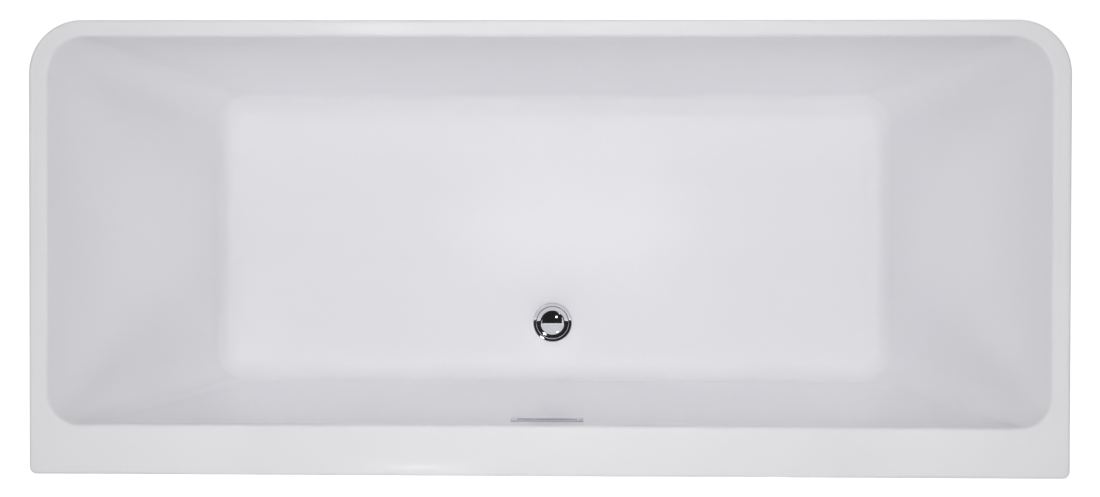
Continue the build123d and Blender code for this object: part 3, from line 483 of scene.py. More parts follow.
def make_brass():
    surface = Surface("machined_brass", (0.72, 0.5, 0.22), 0.25, 1.0)
    surface.color_between(surface.noise(70.0), (0.62, 0.42, 0.17), (0.78, 0.57, 0.28))
    turned = surface.wave(900.0, 0.6, 2.0, "Z")
    surface.roughness_from(surface.spread(turned, 0.18, 0.34, 0.0, 1.0))
    surface.bump(turned, 0.00003, 0.4)
    return surface.material


def make_spring_steel():
    surface = Surface("drawn_spring_steel", (0.5, 0.5, 0.51), 0.3, 1.0)
    surface.color_between(surface.noise(300.0), (0.42, 0.42, 0.43), (0.58, 0.58, 0.6))
    surface.roughness_from(surface.spread(surface.noise(900.0), 0.22, 0.4))
    return surface.material


ACRYLIC = make_acrylic()
CHROME = make_chrome()
MATERIALS = {
    "acrylic_basin": ACRYLIC,
    "acrylic_skirt": ACRYLIC,
    "sealant": make_sealant(),
    "fibreglass": make_fibreglass(),
    "base_board": make_chipboard(),
    "batten": make_timber(),
    "frame_steel": make_galvanised(),
    "fastener_steel": make_zinc(),
    "foot_plastic": make_black_plastic(),
    "chrome": CHROME,
    "brass": make_brass(),
    "spring_steel": make_spring_steel(),
    "seal_rubber": make_rubber(),
    "waste_plastic": make_white_plastic(),
    "hose_plastic": make_hose_plastic(),
}


def dress_cad_nodes():
    """Give every CAD node the detailed material of its slot."""
    for entry in frame["record"]["subparts"]:
        node = NODES[entry["node"]]
        node.data.materials.clear()
        node.data.materials.append(MATERIALS[entry["material_slot"]])


# ---------------------------------------------------------------- the basin shell

WALL_STEPS = 14
FLOOR_STEPS = 22
LIP_ROUND = 0.6 * MM


def wall_profile(lean):
    """One side's inside, from the flat of the rim to the flat of the floor, as (inset, height)."""
    slope = atan2(lean, BASIN_DEPTH)
    turn = pi / 2 - slope
    points = []
    reach = RIM_INNER_ROUND * tan(turn / 2)
    for angle in arc(0, degrees(turn), 8):
        points.append((-reach + RIM_INNER_ROUND * sin(angle), HEIGHT - RIM_INNER_ROUND * (1 - cos(angle))))
    top = points[-1]
    reach = FLOOR_ROUND * tan(turn / 2)
    centre = (lean + reach, FLOOR_Z + FLOOR_ROUND)
    bend = []
    for angle in arc(degrees(turn), 0, 14):
        bend.append((centre[0] - FLOOR_ROUND * sin(angle), centre[1] - FLOOR_ROUND * cos(angle)))
    for i in range(1, WALL_STEPS):
        share = i / WALL_STEPS
        points.append((top[0] + (bend[0][0] - top[0]) * share, top[1] + (bend[0][1] - top[1]) * share))
    return points + bend


def thickened(profile, thickness):
    """The profile moved to the back of a sheet of a thickness."""
    moved = []
    for i, (inset, z) in enumerate(profile):
        before = profile[max(i - 1, 0)]
        after = profile[min(i + 1, len(profile) - 1)]
        run = (after[0] - before[0], after[1] - before[1])
        length = hypot(*run)
        moved.append((inset + thickness * run[1] / length, z - thickness * run[0] / length))
    return moved


def basin_rings(end, front, rear):
    """Rings in plan down the three profiles, with corner radii that follow the depth and the inset."""
    rings = []
    for (end_in, end_z), (front_in, front_z), (rear_in, rear_z) in zip(end, front, rear):
        depth = min(max((HEIGHT - front_z) / BASIN_DEPTH, 0), 1)
        past_wall = front_in - FRONT_LEAN * depth
        front_radius = MOUTH_FRONT_RADIUS + (FLOOR_CORNER_RADIUS - MOUTH_FRONT_RADIUS) * depth - past_wall
        rear_radius = MOUTH_REAR_RADIUS + (FLOOR_CORNER_RADIUS - MOUTH_REAR_RADIUS) * depth - past_wall
        rings.append(plan_ring((MOUTH_X - end_in, end_z), (MOUTH_FRONT_Y + front_in, front_z),
                               (MOUTH_REAR_Y - rear_in, rear_z), front_radius, rear_radius))
    return rings


def rim_ring(inset, z):
    """A ring parallel to the rim's outline."""
    return plan_ring((HALF_LENGTH - inset, z), (-HALF_WIDTH + inset, z), (HALF_WIDTH - inset, z),
                     OUTER_FRONT_RADIUS - inset, max(OUTER_REAR_RADIUS - inset, 1 * MM))


def sink_floor(rings):
    """Let the floor fall towards the drain, fading out up the walls."""
    for ring in rings:
        for point in ring:
            fade = max(0.0, 1 - (point.z - FLOOR_Z) / FALL_FADE)
            distance = hypot(point.x - DRAIN.x, point.y - DRAIN.y)
            share = min(max((distance - FLANGE_RADIUS) / FALL_REACH, 0.0), 1.0)
            point.z += FLOOR_FALL * share ** 0.8 * fade * fade


def make_basin():
    """The acrylic shell as one closed sheet: lip, rim, walls, floor, drain well, and its own back."""
    front_side = [rim_ring(LIP_ROUND, LIP_Z), rim_ring(0, LIP_Z + LIP_ROUND)]
    front_side += [rim_ring(0, LIP_Z + (LIP_DROP - RIM_OUTER_ROUND) * share) for share in (0.3, 0.65)]
    for angle in arc(0, 90, 8):
        front_side.append(rim_ring(RIM_OUTER_ROUND * (1 - cos(angle)),
                                   HEIGHT - RIM_OUTER_ROUND * (1 - sin(angle))))
    sides = [wall_profile(lean) for lean in (END_LEAN, FRONT_LEAN, REAR_LEAN)]
    inside = basin_rings(*sides)
    front_side += blend_rings(front_side[-1], inside[0], (0.25, 0.5, 0.75))
    well = circle_like(inside[-1], DRAIN, FLANGE_RADIUS * 1.9, FLOOR_Z)
    shares = [1 - (1 - i / FLOOR_STEPS) ** 1.2 for i in range(1, FLOOR_STEPS + 1)]
    bowl = inside + blend_rings(inside[-1], well, shares)
    sink_floor(bowl)
    front_side += bowl
    dip = [(FLANGE_RADIUS * 1.6, 0.1 * MM), (FLANGE_RADIUS * 1.3, 0.5 * MM), (FLANGE_RADIUS * 1.1, 0.9 * MM),
           (FLANGE_RADIUS + 0.6 * MM, 1.0 * MM), (FLANGE_RADIUS + 0.2 * MM, 1.4 * MM),
           (FLANGE_RADIUS, WELL_DEPTH), (HOLE_RADIUS, WELL_DEPTH)]
    front_side += [circle_like(inside[-1], DRAIN, radius, FLOOR_Z - depth) for radius, depth in dip]
    back = [circle_like(inside[-1], DRAIN, HOLE_RADIUS, WELL_Z - SHEET),
            circle_like(inside[-1], DRAIN, FLANGE_RADIUS * 1.15, WELL_Z - SHEET),
            circle_like(inside[-1], DRAIN, FLANGE_RADIUS * 1.3, FLOOR_Z - SHEET)]
    behind = basin_rings(*[thickened(side, SHEET) for side in sides])
    back += list(reversed(behind))
    back += [rim_ring(SHEET, HEIGHT - SHEET), rim_ring(SHEET, LIP_Z)]
    points, faces = skin(front_side + back)
    basin = add_mesh("acrylic_basin", points, faces, ACRYLIC)
    cut(basin, overflow_cutter())
    basin.data.set_sharp_from_angle(angle=radians(SHARP_DEGREES))
    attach(basin, "root")
    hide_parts("shell_floor", "shell_front_wall", "shell_rear_wall",
                "shell_left_end", "shell_right_end")


# ---------------------------------------------------------------- the overflow

WALL_ANGLE = atan2(REAR_LEAN, BASIN_DEPTH)
OVERFLOW_DROP = 42 * MM
OVERFLOW_Y = MOUTH_REAR_Y - REAR_LEAN * OVERFLOW_DROP / BASIN_DEPTH
OVERFLOW = Matrix.Translation((0, OVERFLOW_Y, HEIGHT - OVERFLOW_DROP)) @ Matrix.Rotation(-WALL_ANGLE, 4, "X")
TRIM_LENGTH = 120 * MM
TRIM_HEIGHT = 22 * MM
TRIM_THICKNESS = 2.5 * MM
COLLAR_LENGTH = 104 * MM
COLLAR_BAND = 14 * MM
COLLAR_WALL = 2.5 * MM
COLLAR_DEPTH = 13 * MM
COLLAR_GAP = 1 * MM
CORNER_ROUND = 2 * MM
SLOT_ROUND = 1.5 * MM
TRIM_EDGE = 1 * MM
MOUTH_EDGE = 0.7 * MM

SCREW_PLACES = [-56 * MM, 56 * MM]
SCREW_RADIUS = 1.8 * MM
SCREW_HEAD_RADIUS = 2.9 * MM
SCREW_SEAT = -1.3 * MM
SCREW_TIP = 13 * MM
PAST_TRIM = -4 * MM
WALL_REACH = 30 * MM


def upright_loop(length, height, radius, y, steps=6):
    """A rounded rectangle that stands in the overflow's plane."""
    ring = []
    for sx, sz, start in ((1, 1, 0), (-1, 1, 90), (-1, -1, 180), (1, -1, 270)):
        for angle in arc(start, start + 90, steps):
            ring.append(Vector((sx * (length / 2 - radius) + radius * cos(angle), y,
                                sz * (height / 2 - radius) + radius * sin(angle))))
    return ring


def overflow_cutter():
    """A slab a little larger than the collar, through the wall-side wall."""
    length = COLLAR_LENGTH + 2 * COLLAR_GAP
    height = COLLAR_BAND + 2 * COLLAR_GAP
    loops = [upright_loop(length, height, CORNER_ROUND, y) for y in (-WALL_REACH, WALL_REACH)]
    cutter = add_mesh("overflow_cutter", *capped(loops), ACRYLIC)
    cutter.data.transform(OVERFLOW)
    return cutter


def make_overflow_trim():
    """A slim plate with softened edges, and the collar that carries its slot through the wall."""
    slot_length = COLLAR_LENGTH - 2 * COLLAR_WALL
    slot_height = COLLAR_BAND - 2 * COLLAR_WALL
    loops = [upright_loop(TRIM_LENGTH, TRIM_HEIGHT, CORNER_ROUND, 0)]
    for angle in arc(0, 90, 6):
        inset = TRIM_EDGE * (1 - cos(angle))
        loops.append(upright_loop(TRIM_LENGTH - 2 * inset, TRIM_HEIGHT - 2 * inset, CORNER_ROUND - inset / 2,
                                  -TRIM_THICKNESS + TRIM_EDGE * (1 - sin(angle))))
    for angle in arc(0, 90, 5):
        grow = MOUTH_EDGE * (1 - sin(angle))
        loops.append(upright_loop(slot_length + 2 * grow, slot_height + 2 * grow, SLOT_ROUND + grow,
                                  -TRIM_THICKNESS + MOUTH_EDGE * (1 - cos(angle))))
    loops.append(upright_loop(slot_length, slot_height, SLOT_ROUND, COLLAR_DEPTH))
    loops.append(upright_loop(COLLAR_LENGTH, COLLAR_BAND, CORNER_ROUND, COLLAR_DEPTH))
    loops.append(upright_loop(COLLAR_LENGTH, COLLAR_BAND, CORNER_ROUND, 0))
    trim = add_mesh("chrome_overflow_trim", *skin(loops), CHROME)
    recess_radius = SCREW_HEAD_RADIUS + 0.1 * MM
    recess = [(0, PAST_TRIM), (recess_radius, PAST_TRIM), (recess_radius, SCREW_SEAT), (0, SCREW_SEAT)]
    for x in SCREW_PLACES:
        cut(trim, level_turned("recess", x, recess, CHROME))
    trim.data.set_sharp_from_angle(angle=radians(SHARP_DEGREES))
    trim.data.transform(OVERFLOW)
    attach(trim, "root")
    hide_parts("overflow_trim")


def level_turned(name, x, profile, material):
    """A solid of revolution about Y through a place along the trim, from (radius, y)."""
    piece = lathe(name, profile, material, Vector((0, 0, 0)), 40)
    piece.data.transform(Matrix.Translation((x, 0, 0)) @ Matrix.Rotation(-pi / 2, 4, "X"))
    return piece


def make_overflow_screws():
    """Two small domed screws with a cross slot, in the recesses at the trim's ends."""
    steel = MATERIALS["fastener_steel"]
    head = SCREW_HEAD_RADIUS
    profile = [(0, -TRIM_THICKNESS), (head * 0.5, -2.44 * MM), (head * 0.85, -2.25 * MM), (head, -1.95 * MM),
               (head, SCREW_SEAT), (SCREW_RADIUS, SCREW_SEAT), (SCREW_RADIUS, SCREW_TIP), (0, SCREW_TIP)]
    slot_low = (-1.7 * MM, PAST_TRIM, -0.3 * MM)
    slot_high = (1.7 * MM, -1.9 * MM, 0.3 * MM)
    screws = []
    for x in SCREW_PLACES:
        screw = level_turned("screw", x, profile, steel)
        for turn in (pi / 4, 3 * pi / 4):
            slot = add_bar("slot", slot_low, slot_high, steel, 0.02 * MM)
            slot.data.transform(Matrix.Translation((x, 0, 0)) @ Matrix.Rotation(turn, 4, "Y"))
            cut(screw, slot)
        screw.data.set_sharp_from_angle(angle=radians(SHARP_DEGREES))
        screws.append(screw)
    both = join("overflow_trim_screws", screws)
    both.data.transform(OVERFLOW)
    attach(both, "root")
    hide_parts("overflow_screws")


# ---------------------------------------------------------------- the skirt

SKIRT_TAPER = 40 * MM
SKIRT_FOOT_RADIUS = 70 * MM
SKIRT_SHEET = 5 * MM
SKIRT_SOFT = 1.5 * MM
SKIRT_STEPS = 24
SEAM = 1 * MM
SEAM_Z = LIP_Z - SEAM
TONGUE_OUTSIDE = 5.4 * MM
TONGUE_INSIDE = 8.4 * MM
TONGUE_RISE = 16 * MM
TONGUE_DROP = 13 * MM
SERVICE_WIDTH = 500 * MM
SERVICE_TOP = SKIRT_LOW.z + 260 * MM
SERVICE_RADIUS = 10 * MM
SERVICE_REACH = 30 * MM
SERVICE_LOW_Z = -50 * MM


def skirt_ring(inset, share, z):
    """A ring on the skirt; share is 0 at its foot and 1 at its top."""
    taper = SKIRT_TAPER * (1 - share)
    radius = SKIRT_FOOT_RADIUS + (OUTER_FRONT_RADIUS - SKIRT_FOOT_RADIUS) * share
    return plan_ring((HALF_LENGTH - taper - inset, z), (-HALF_WIDTH + taper + inset, z),
                     (HALF_WIDTH - inset, z), radius - inset, max(OUTER_REAR_RADIUS - inset, 1 * MM))


def make_skirt():
    """One sheet round the tub, with a tongue on its inside that stands behind the rim's lip."""
    foot_z = SKIRT_LOW.z
    tall = SEAM_Z - foot_z
    rings = []
    for angle in arc(0, 90, 5):
        rings.append(skirt_ring(SKIRT_SOFT * (1 - sin(angle)), 0, foot_z + SKIRT_SOFT * (1 - cos(angle))))
    for i in range(1, SKIRT_STEPS):
        share = i / SKIRT_STEPS
        rings.append(skirt_ring(0, share, foot_z + tall * share))
    for angle in arc(0, 90, 4):
        rings.append(skirt_ring(SKIRT_SOFT / 2 * (1 - cos(angle)), 1,
                                SEAM_Z - SKIRT_SOFT / 2 * (1 - sin(angle))))
    tongue_top = SEAM_Z + TONGUE_RISE
    inside_drop = TONGUE_DROP + 1 * MM
    for inset, share, z in ((TONGUE_OUTSIDE, 1, SEAM_Z), (TONGUE_OUTSIDE, 1, tongue_top),
                            (TONGUE_INSIDE, 1, tongue_top), (TONGUE_INSIDE, 1, SEAM_Z - TONGUE_DROP),
                            (SKIRT_SHEET, 1 - inside_drop / tall, SEAM_Z - inside_drop),
                            (SKIRT_SHEET, 0, foot_z)):
        rings.append(skirt_ring(inset, share, z))
    skirt = add_mesh("acrylic_skirt", *skin(rings), ACRYLIC)
    cut(skirt, service_cutter())
    skirt.data.set_sharp_from_angle(angle=radians(SHARP_DEGREES))
    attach(skirt, "root")
    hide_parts("skirt_front", "skirt_rear", "skirt_left_end", "skirt_right_end")


def service_cutter():
    """An upright slab with rounded top corners, through the back of the skirt."""
    half = SERVICE_WIDTH / 2
    rings = []
    for y in (HALF_WIDTH - SERVICE_REACH, HALF_WIDTH + SERVICE_REACH):
        ring = [Vector((-half, y, SERVICE_LOW_Z)), Vector((half, y, SERVICE_LOW_Z))]
        for side, start in ((1, 0), (-1, 90)):
            for angle in arc(start, start + 90, 10):
                ring.append(Vector((side * (half - SERVICE_RADIUS) + SERVICE_RADIUS * cos(angle), y,
                                    SERVICE_TOP - SERVICE_RADIUS + SERVICE_RADIUS * sin(angle))))
        rings.append(ring)
    return add_mesh("service_cutter", *capped(rings), ACRYLIC)


# ---------------------------------------------------------------- the waste and its plug

TAIL_RADIUS = 23.9 * MM
TAIL_BORE = 20 * MM
FLANGE_SUNK = 1.8 * MM
FLANGE_SEAT = 1.4 * MM
FLANGE_SIDE = 3.9 * MM
FLANGE_ROUND = 0.5 * MM
EDGE_ROUND = 0.3 * MM
BAND_BULGE = 0.04 * MM
CAP_CLEARANCE = 0.6 * MM
HUB_DROP = 24 * MM
HUB_HEIGHT = 6 * MM
HUB_RADIUS = 11 * MM
HUB_BORE = 8.05 * MM
ARM_HALF = 2 * MM
DISH_RADIUS = 22 * MM
DISH_SAG = 1.8 * MM
CAP_BODY = 11 * MM
CAP_SIDE = 1.4 * MM
BOSS_RADIUS = 7 * MM
STEM_BORE = 4.02 * MM


def bulged_band(start, end, steps=8):
    """Profile points from start to end, very slightly raised between them."""
    points = []
    for i in range(1, steps + 1):
        share = i / steps
        points.append((start[0] + (end[0] - start[0]) * share,
                       start[1] + (end[1] - start[1]) * share + BAND_BULGE * sin(pi * share)))
    return points


def make_flange():
    """The chrome ring in the floor with its plain tail and four-armed spider."""
    base = FLANGE_LOW.z
    under = FLOOR_Z - FLANGE_SUNK
    seat = under + FLANGE_SEAT
    lip = CAP_RADIUS + CAP_CLEARANCE
    profile = [(TAIL_BORE, base), (TAIL_RADIUS, base), (TAIL_RADIUS, under),
               (FLANGE_RADIUS - EDGE_ROUND, under), (FLANGE_RADIUS, under + EDGE_ROUND)]
    for angle in arc(0, 80, 6):
        profile.append((FLANGE_RADIUS - FLANGE_ROUND * (1 - cos(angle)),
                        under + FLANGE_SIDE + FLANGE_ROUND * sin(angle)))
    profile += bulged_band(profile[-1], (lip + EDGE_ROUND, FLANGE_HIGH.z))
    profile += [(lip + 0.08 * MM, FLANGE_HIGH.z - 0.08 * MM), (lip, FLANGE_HIGH.z - EDGE_ROUND), (lip, seat),
                (TAIL_BORE, seat)]
    ring = lathe("flange_ring", profile, CHROME, DRAIN_AXIS)
    low = seat - HUB_DROP
    high = low + HUB_HEIGHT
    soft = 0.5 * MM
    hub = lathe("flange_hub", [(HUB_BORE, low), (HUB_RADIUS - soft, low), (HUB_RADIUS, low + soft),
                               (HUB_RADIUS, high - soft), (HUB_RADIUS - soft, high), (HUB_BORE, high)],
                CHROME, DRAIN_AXIS, 64)
    bars = []
    for quarter in range(4):
        bar = add_bar("flange_bar", (HUB_RADIUS - 1 * MM, -ARM_HALF, low),
                      (TAIL_BORE + 1 * MM, ARM_HALF, high), CHROME)
        bar.matrix_world = Matrix.Translation(DRAIN_AXIS) @ Matrix.Rotation(quarter * pi / 2, 4, "Z")
        bars.append(bar)
    bpy.context.view_layer.update()
    flange = join("chrome_waste_flange", [ring, hub] + bars)
    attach(flange, "root")
    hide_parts("waste_flange")


def make_cap():
    """The dished cap: a band that falls gently outwards, a crisp round edge, and a shallow dish."""
    under = CAP_LOW.z + CAP_BODY
    top = CAP_HIGH.z
    sphere = (DISH_RADIUS * DISH_RADIUS + DISH_SAG * DISH_SAG) / (2 * DISH_SAG)
    profile = [(0.0, top - DISH_SAG)]
    for i in range(1, 15):
        radius = DISH_RADIUS * i / 14
        profile.append((radius, top - DISH_SAG + sphere - sqrt(sphere * sphere - radius * radius)))
    profile += bulged_band((DISH_RADIUS + 0.15 * MM, top), (CAP_RADIUS - 0.1 * MM, under + 2.1 * MM))
    profile += [(CAP_RADIUS - 0.02 * MM, under + 1.8 * MM), (CAP_RADIUS, under + CAP_SIDE),
                (CAP_RADIUS, under + EDGE_ROUND), (CAP_RADIUS - EDGE_ROUND, under), (BOSS_RADIUS, under),
                (BOSS_RADIUS, CAP_LOW.z), (STEM_BORE, CAP_LOW.z), (STEM_BORE, under - 1 * MM),
                (0.0, under - 1 * MM)]
    cap = lathe("chrome_plug_cap", profile, CHROME, DRAIN_AXIS)
    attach(cap, "plug")
    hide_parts("plug_cap")


# ---------------------------------------------------------------- the overflow hose

HOSE_RADIUS = 13.5 * MM
HOSE_GROOVE = 1.5 * MM
HOSE_PITCH = 4.4 * MM
HOSE_CUFF = 16 * MM
STEPS_PER_RIDGE = 6
SPIGOT_RADIUS = 11.5 * MM
HOSE_ROUTE = [(0, 0.307, 0.5046), (0, 0.2954, 0.3902), (0, 0.325, 0.260), (0, 0.334, 0.166),
              (0, 0.304, 0.105), (0, 0.244, 0.072), (0, 0.186, 0.072)]


def route_points(route):
    """Points along the smooth curve that a route guides."""
    curve = bpy.data.curves.new("route", "CURVE")
    curve.dimensions = "3D"
    spline = curve.splines.new("NURBS")
    spline.points.add(len(route) - 1)
    for point, place in zip(spline.points, route):
        point.co = (*place, 1)
    spline.order_u = 3
    spline.use_endpoint_u = True
    spline.resolution_u = 40
    holder = bpy.data.objects.new("route", curve)
    mesh = bpy.data.meshes.new_from_object(holder)
    points = [vertex.co.copy() for vertex in mesh.vertices]
    bpy.data.objects.remove(holder)
    bpy.data.meshes.remove(mesh)
    return points


def evenly(points, step):
    """Places a step apart along the points, each with its direction."""
    lengths = [(b - a).length for a, b in zip(points, points[1:])]
    total = sum(lengths)
    count = ceil(total / step)
    placed = []
    index = 0
    passed = 0.0
    for i in range(count + 1):
        goal = total * i / count
        while index < len(lengths) - 1 and passed + lengths[index] < goal:
            passed += lengths[index]
            index += 1
        a, b = points[index], points[index + 1]
        placed.append((a.lerp(b, (goal - passed) / lengths[index]), (b - a).normalized()))
    return placed


def hose_ring(place, along, radius, sides=40):
    """A circle round the hose's route."""
    across = Vector((1, 0, 0))
    up = along.cross(across)
    angles = [2 * pi * i / sides for i in range(sides)]
    return [place + radius * (across * cos(angle) + up * sin(angle)) for angle in angles]


def make_hose():
    """A corrugated hose: its radius rises and falls along the route; both ends are plain cuffs."""
    step = HOSE_PITCH / STEPS_PER_RIDGE
    places = evenly(route_points(HOSE_ROUTE), step)
    cuff = HOSE_CUFF / step
    rings = []
    for index, (place, along) in enumerate(places):
        ridge = 0.5 - 0.5 * cos(2 * pi * index / STEPS_PER_RIDGE)
        if min(index, len(places) - 1 - index) < cuff:
            ridge = 1.0
        rings.append(hose_ring(place, along, HOSE_RADIUS - 0.1 * MM - HOSE_GROOVE * (1 - ridge) ** 0.7))
    for place, along in reversed(places):
        rings.append(hose_ring(place, along, SPIGOT_RADIUS + 0.2 * MM))
    points, faces = skin(rings)
    hose = add_mesh("corrugated_overflow_hose", points, faces, MATERIALS["hose_plastic"], 60)
    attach(hose, "root")
    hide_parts("overflow_hose")


# ---------------------------------------------------------------- feet, their nuts and the spring

FEET = ["front_left", "front_middle", "front_right", "rear_left", "rear_right"]
STUD_RADIUS = 6 * MM
STUD_PITCH = 1.75 * MM
THREAD_DEPTH = 0.9 * MM
THREAD_SIDES = 20
THREAD_ROWS = 4
STUD_FLATS = 14 * MM
STUD_COLLAR = 8 * MM
NUT_FLATS = 19 * MM
STUD_BORE = 6.05 * MM
PAD_RADIUS = 25 * MM
PAD_NECK = 12 * MM
PAD_HEIGHT = 16 * MM
PAD_FLOOR = 4 * MM


def threaded_rod(name, place, low, high, material):
    """A rod with a cut helical thread that runs out at both ends."""
    rows = int((high - low) / STUD_PITCH) * THREAD_ROWS
    rings = [[Vector((place.x, place.y, low))] * THREAD_SIDES]
    for row in range(rows + 1):
        z = low + (high - low) * row / rows
        fade = min((z - low) / STUD_PITCH, (high - z) / STUD_PITCH, 1.0)
        ring = []
        for i in range(THREAD_SIDES):
            angle = 2 * pi * i / THREAD_SIDES
            phase = ((z - low) / STUD_PITCH - i / THREAD_SIDES) % 1.0
            groove = THREAD_DEPTH * (1 - abs(2 * phase - 1))
            reach = (STUD_RADIUS - groove) * (1 - 0.12 * (1 - fade))
            ring.append(Vector((place.x + reach * cos(angle), place.y + reach * sin(angle), z)))
        rings.append(ring)
    rings.append([Vector((place.x, place.y, high))] * THREAD_SIDES)
    points, faces = skin(rings, closed=False)
    return add_mesh(name, points, faces, material, 50)


def hexagon_solid(name, place, low, high, flats, material, bore=0.0):
    """A hexagon nut or head with chamfered corners and, where it has one, a bore."""
    sides = 48
    apothem = flats / 2
    corner = apothem / cos(pi / 6)
    chamfer = corner - apothem
    rings = []
    for z, limit in ((low, apothem), (low + chamfer * 0.55, corner), (high - chamfer * 0.55, corner),
                     (high, apothem)):
        ring = []
        for i in range(sides):
            angle = 2 * pi * i / sides
            local = (angle + pi / 6) % (pi / 3) - pi / 6
            reach = min(apothem / cos(local), limit)
            ring.append(Vector((place.x + reach * cos(angle), place.y + reach * sin(angle), z)))
        rings.append(ring)
    if bore:
        axis = Vector((place.x, place.y, 0))
        points, faces = skin(rings + [turned_ring(axis, bore, z, sides) for z in (high, low)])
    else:
        points, faces = capped(rings)
    return add_mesh(name, points, faces, material, 25)


def make_feet():
    steel = MATERIALS["fastener_steel"]
    plastic = MATERIALS["foot_plastic"]
    edge = PAD_RADIUS
    neck = PAD_NECK
    pad_profile = [(0, 0), (edge - 1 * MM, 0), (edge, 1 * MM), (edge, 3.2 * MM), (edge - 0.8 * MM, PAD_FLOOR),
                   (neck + 0.8 * MM, 7.8 * MM), (neck, 8.6 * MM), (neck, PAD_HEIGHT - 0.6 * MM),
                   (neck - 0.6 * MM, PAD_HEIGHT), (STUD_BORE, PAD_HEIGHT), (STUD_BORE, PAD_FLOOR),
                   (0, PAD_FLOOR)]
    for name in FEET:
        low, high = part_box("foot_stud_" + name)
        pad_low, pad_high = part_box("foot_pad_" + name)
        place = (low + high) / 2
        axis = Vector((place.x, place.y, 0))
        collar_low = pad_high.z
        rod = threaded_rod("rod", place, collar_low, high.z, steel)
        plain = lathe("plain", [(0, low.z), (STUD_RADIUS, low.z), (STUD_RADIUS, collar_low), (0, collar_low)],
                      steel, axis, 32)
        collar = hexagon_solid("collar", place, collar_low, collar_low + STUD_COLLAR, STUD_FLATS, steel)
        stud = join("levelling_stud_" + name, [rod, plain, collar])
        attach(stud, "foot_" + name)
        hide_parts("foot_stud_" + name)
        pad = lathe("levelling_pad_" + name, pad_profile, plastic, Vector((place.x, place.y, pad_low.z)), 72)
        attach(pad, "foot_" + name)
        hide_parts("foot_pad_" + name)


def make_foot_nuts():
    for node, name in (("foot_weld_nuts", "weld_nuts"), ("foot_lock_nuts", "lock_nuts")):
        low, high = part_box(node)
        nuts = []
        for foot in FEET:
            stud_low, stud_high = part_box("foot_stud_" + foot)
            nuts.append(hexagon_solid("nut", (stud_low + stud_high) / 2, low.z, high.z, NUT_FLATS,
                                      MATERIALS["fastener_steel"], STUD_BORE))
        piece = join(name, nuts)
        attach(piece, "root")
        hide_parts(node)


SPRING_WIRE = 0.5 * MM
SPRING_RADIUS = 4.8 * MM
SPRING_TURNS = 4
SPRING_SIDES = 10


def make_spring():
    """The plug's coil spring, within the bounds of its CAD node."""
    low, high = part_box("plug_spring")
    low_z = low.z + SPRING_WIRE
    high_z = high.z - SPRING_WIRE
    steps = 48 * SPRING_TURNS
    rings = []
    for i in range(steps + 1):
        share = i / steps
        angle = 2 * pi * SPRING_TURNS * share
        out = Vector((cos(angle), sin(angle), 0))
        middle = DRAIN_AXIS + SPRING_RADIUS * out + Vector((0, 0, low_z + (high_z - low_z) * share))
        turns = [2 * pi * k / SPRING_SIDES for k in range(SPRING_SIDES)]
        rings.append([middle + SPRING_WIRE * (out * cos(turn) + Vector((0, 0, sin(turn)))) for turn in turns])
    points, faces = capped(rings)
    spring = add_mesh("plug_coil_spring", points, faces, MATERIALS["spring_steel"], 60)
    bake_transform(spring)
    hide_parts("plug_spring")


# ---------------------------------------------------------------- camera, floor and light

CAMERA_PLACE = Vector((-0.079, -0.047, 3.68))
CAMERA_AIM = Vector((-0.0053, 0.0001, HEIGHT))
CAMERA_UP = Vector((0.00203, -1, 0))
CAMERA_LENS = 62.3
SENSOR_WIDTH = 36
FLOOR_REACH = 9.0


def make_camera():
    """Straight above, with the wall side at the bottom of the picture."""
    data = bpy.data.cameras.new("camera")
    data.lens = CAMERA_LENS
    data.sensor_width = SENSOR_WIDTH
    camera = bpy.data.objects.new("camera", data)
    bpy.context.scene.collection.objects.link(camera)
    back = (CAMERA_PLACE - CAMERA_AIM).normalized()
    right = CAMERA_UP.cross(back).normalized()
    up = back.cross(right)
    turn = Matrix((right, up, back)).transposed().to_4x4()
    camera.matrix_world = Matrix.Translation(CAMERA_PLACE) @ turn
    bpy.context.scene.camera = camera


def flat_corners(low, high, z):
    return [(low[0], low[1], z), (high[0], low[1], z), (high[0], high[1], z), (low[0], high[1], z)]


def make_floor():
    surface = Surface("studio_floor", (0.9, 0.9, 0.9), 0.8)
    surface.color_between(surface.noise(3.0), (0.89, 0.89, 0.89), (0.91, 0.91, 0.91))
    surface.shader.inputs["Emission Color"].default_value = (1, 1, 1, 1)
    surface.shader.inputs["Emission Strength"].default_value = FLOOR_GLOW
    corners = flat_corners((-FLOOR_REACH, -FLOOR_REACH), (FLOOR_REACH, FLOOR_REACH), 0)
    floor = add_mesh("studio_floor", corners, [(0, 1, 2, 3)], surface.material)


def add_glossy_card(name, low, high, z, glow):
    """A level card that only mirror reflections see."""
    surface = Surface(name, CARD_COLOR, 0.9)
    surface.color_between(surface.noise(2.0), CARD_COLOR, tuple(0.9 * c for c in CARD_COLOR))
    surface.shader.inputs["Emission Color"].default_value = (1, 1, 1, 1)
    surface.shader.inputs["Emission Strength"].default_value = glow
    card = add_mesh(name, flat_corners(low, high, z), [(0, 1, 2, 3)], surface.material)
    card.visible_camera = False
    card.visible_diffuse = False
    card.visible_shadow = False
    card.visible_transmission = False


CARD_Z = 4.5
CARD_COLOR = (0.01, 0.01, 0.01)
LAMP_BELOW_CARDS = 20 * MM
# name, low corner, high corner, glow
CEILING_CARDS = [
    ("bright_ceiling", (-3.5, -4.0), (3.5, 0.22), 0.8),
    ("bright_edge", (-3.5, 0.22), (3.5, 0.27), 1.5),
    ("dark_gap", (-1.15, 0.27), (1.25, 2.4), 0.0),
    ("left_ceiling", (1.25, 0.27), (3.5, 1.6), 1.0),
    ("right_ceiling", (-3.5, 0.27), (-1.15, 1.6), 1.0),
]
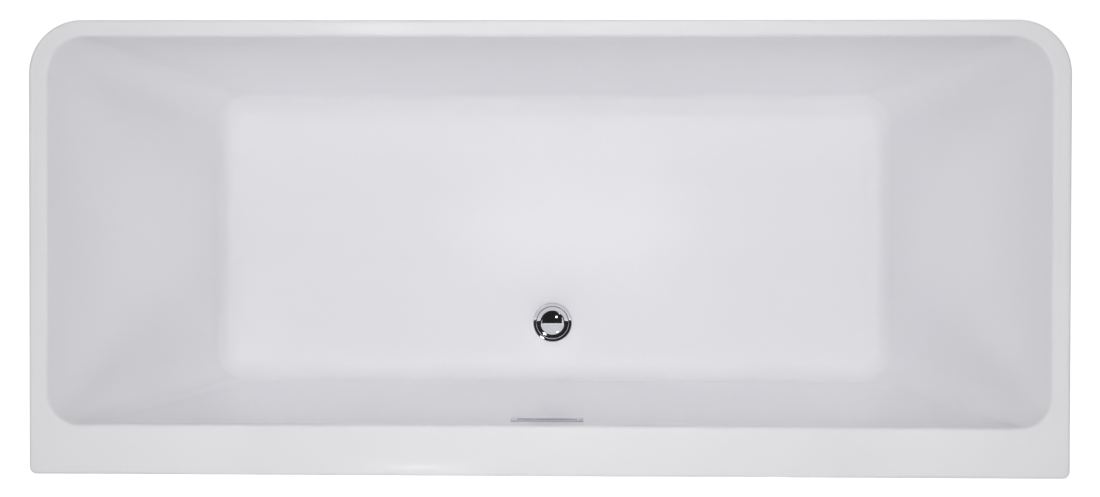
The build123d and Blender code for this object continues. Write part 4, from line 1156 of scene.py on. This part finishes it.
# name, place, side, glow
LAMPS = [
    ("wall_side_lamp", (0.56, 1.04), 0.18, 6.0),
    ("room_side_lamp", (0.72, -0.78), 0.26, 3.0),
]
WORLD_STRENGTH = 0.1
FLOOR_GLOW = 0.6
# name, place, aim, length, width, watts, spread in degrees
SOFT_LIGHTS = [
    ("overhead_light", (0, -0.1, 4.5), (0, -0.1, 0), 4.0, 3.0, 40, 180),
    ("near_light", (0, 0.02, 2.6), (0, 0.02, 0), 1.4, 0.7, 2.1, 180),
    ("room_side_light", (0, -2.6, 3.2), (0, 0, 0.3), 4.0, 1.6, 33, 180),
    ("wall_side_light", (0, 2.6, 3.2), (0, 0, 0.3), 4.0, 1.6, 38, 180),
    ("grid_light", (0, 0.02, 3.4), (0, 0.02, 0), 0.7, 0.25, 1.4, 50),
]


def add_soft_light(name, place, aim, length, width, power, spread):
    """An area light that lights surfaces but isn't mirrored by them."""
    data = bpy.data.lights.new(name, "AREA")
    data.shape = "RECTANGLE"
    data.size = length
    data.size_y = width
    data.energy = power
    data.spread = radians(spread)
    light = bpy.data.objects.new(name, data)
    bpy.context.scene.collection.objects.link(light)
    light.location = place
    light.rotation_euler = (Vector(aim) - Vector(place)).to_track_quat("-Z", "Y").to_euler()
    light.visible_glossy = False
    light.visible_camera = False


def make_lights():
    world = bpy.data.worlds.new("studio")
    world.use_nodes = True
    sky = world.node_tree.nodes["Background"]
    sky.inputs["Color"].default_value = (1, 1, 1, 1)
    sky.inputs["Strength"].default_value = WORLD_STRENGTH
    bpy.context.scene.world = world
    for light in SOFT_LIGHTS:
        add_soft_light(*light)
    for name, low, high, glow in CEILING_CARDS:
        add_glossy_card(name, low, high, CARD_Z, glow)
    for name, (x, y), size, glow in LAMPS:
        half = size / 2
        add_glossy_card(name, (x - half, y - half), (x + half, y + half), CARD_Z - LAMP_BELOW_CARDS, glow)
    bpy.context.scene.view_settings.view_transform = "Standard"


dress_cad_nodes()
make_basin()
make_overflow_trim()
make_overflow_screws()
make_skirt()
make_flange()
make_cap()
make_hose()
make_feet()
make_foot_nuts()
make_spring()
make_camera()
make_floor()
make_lights()
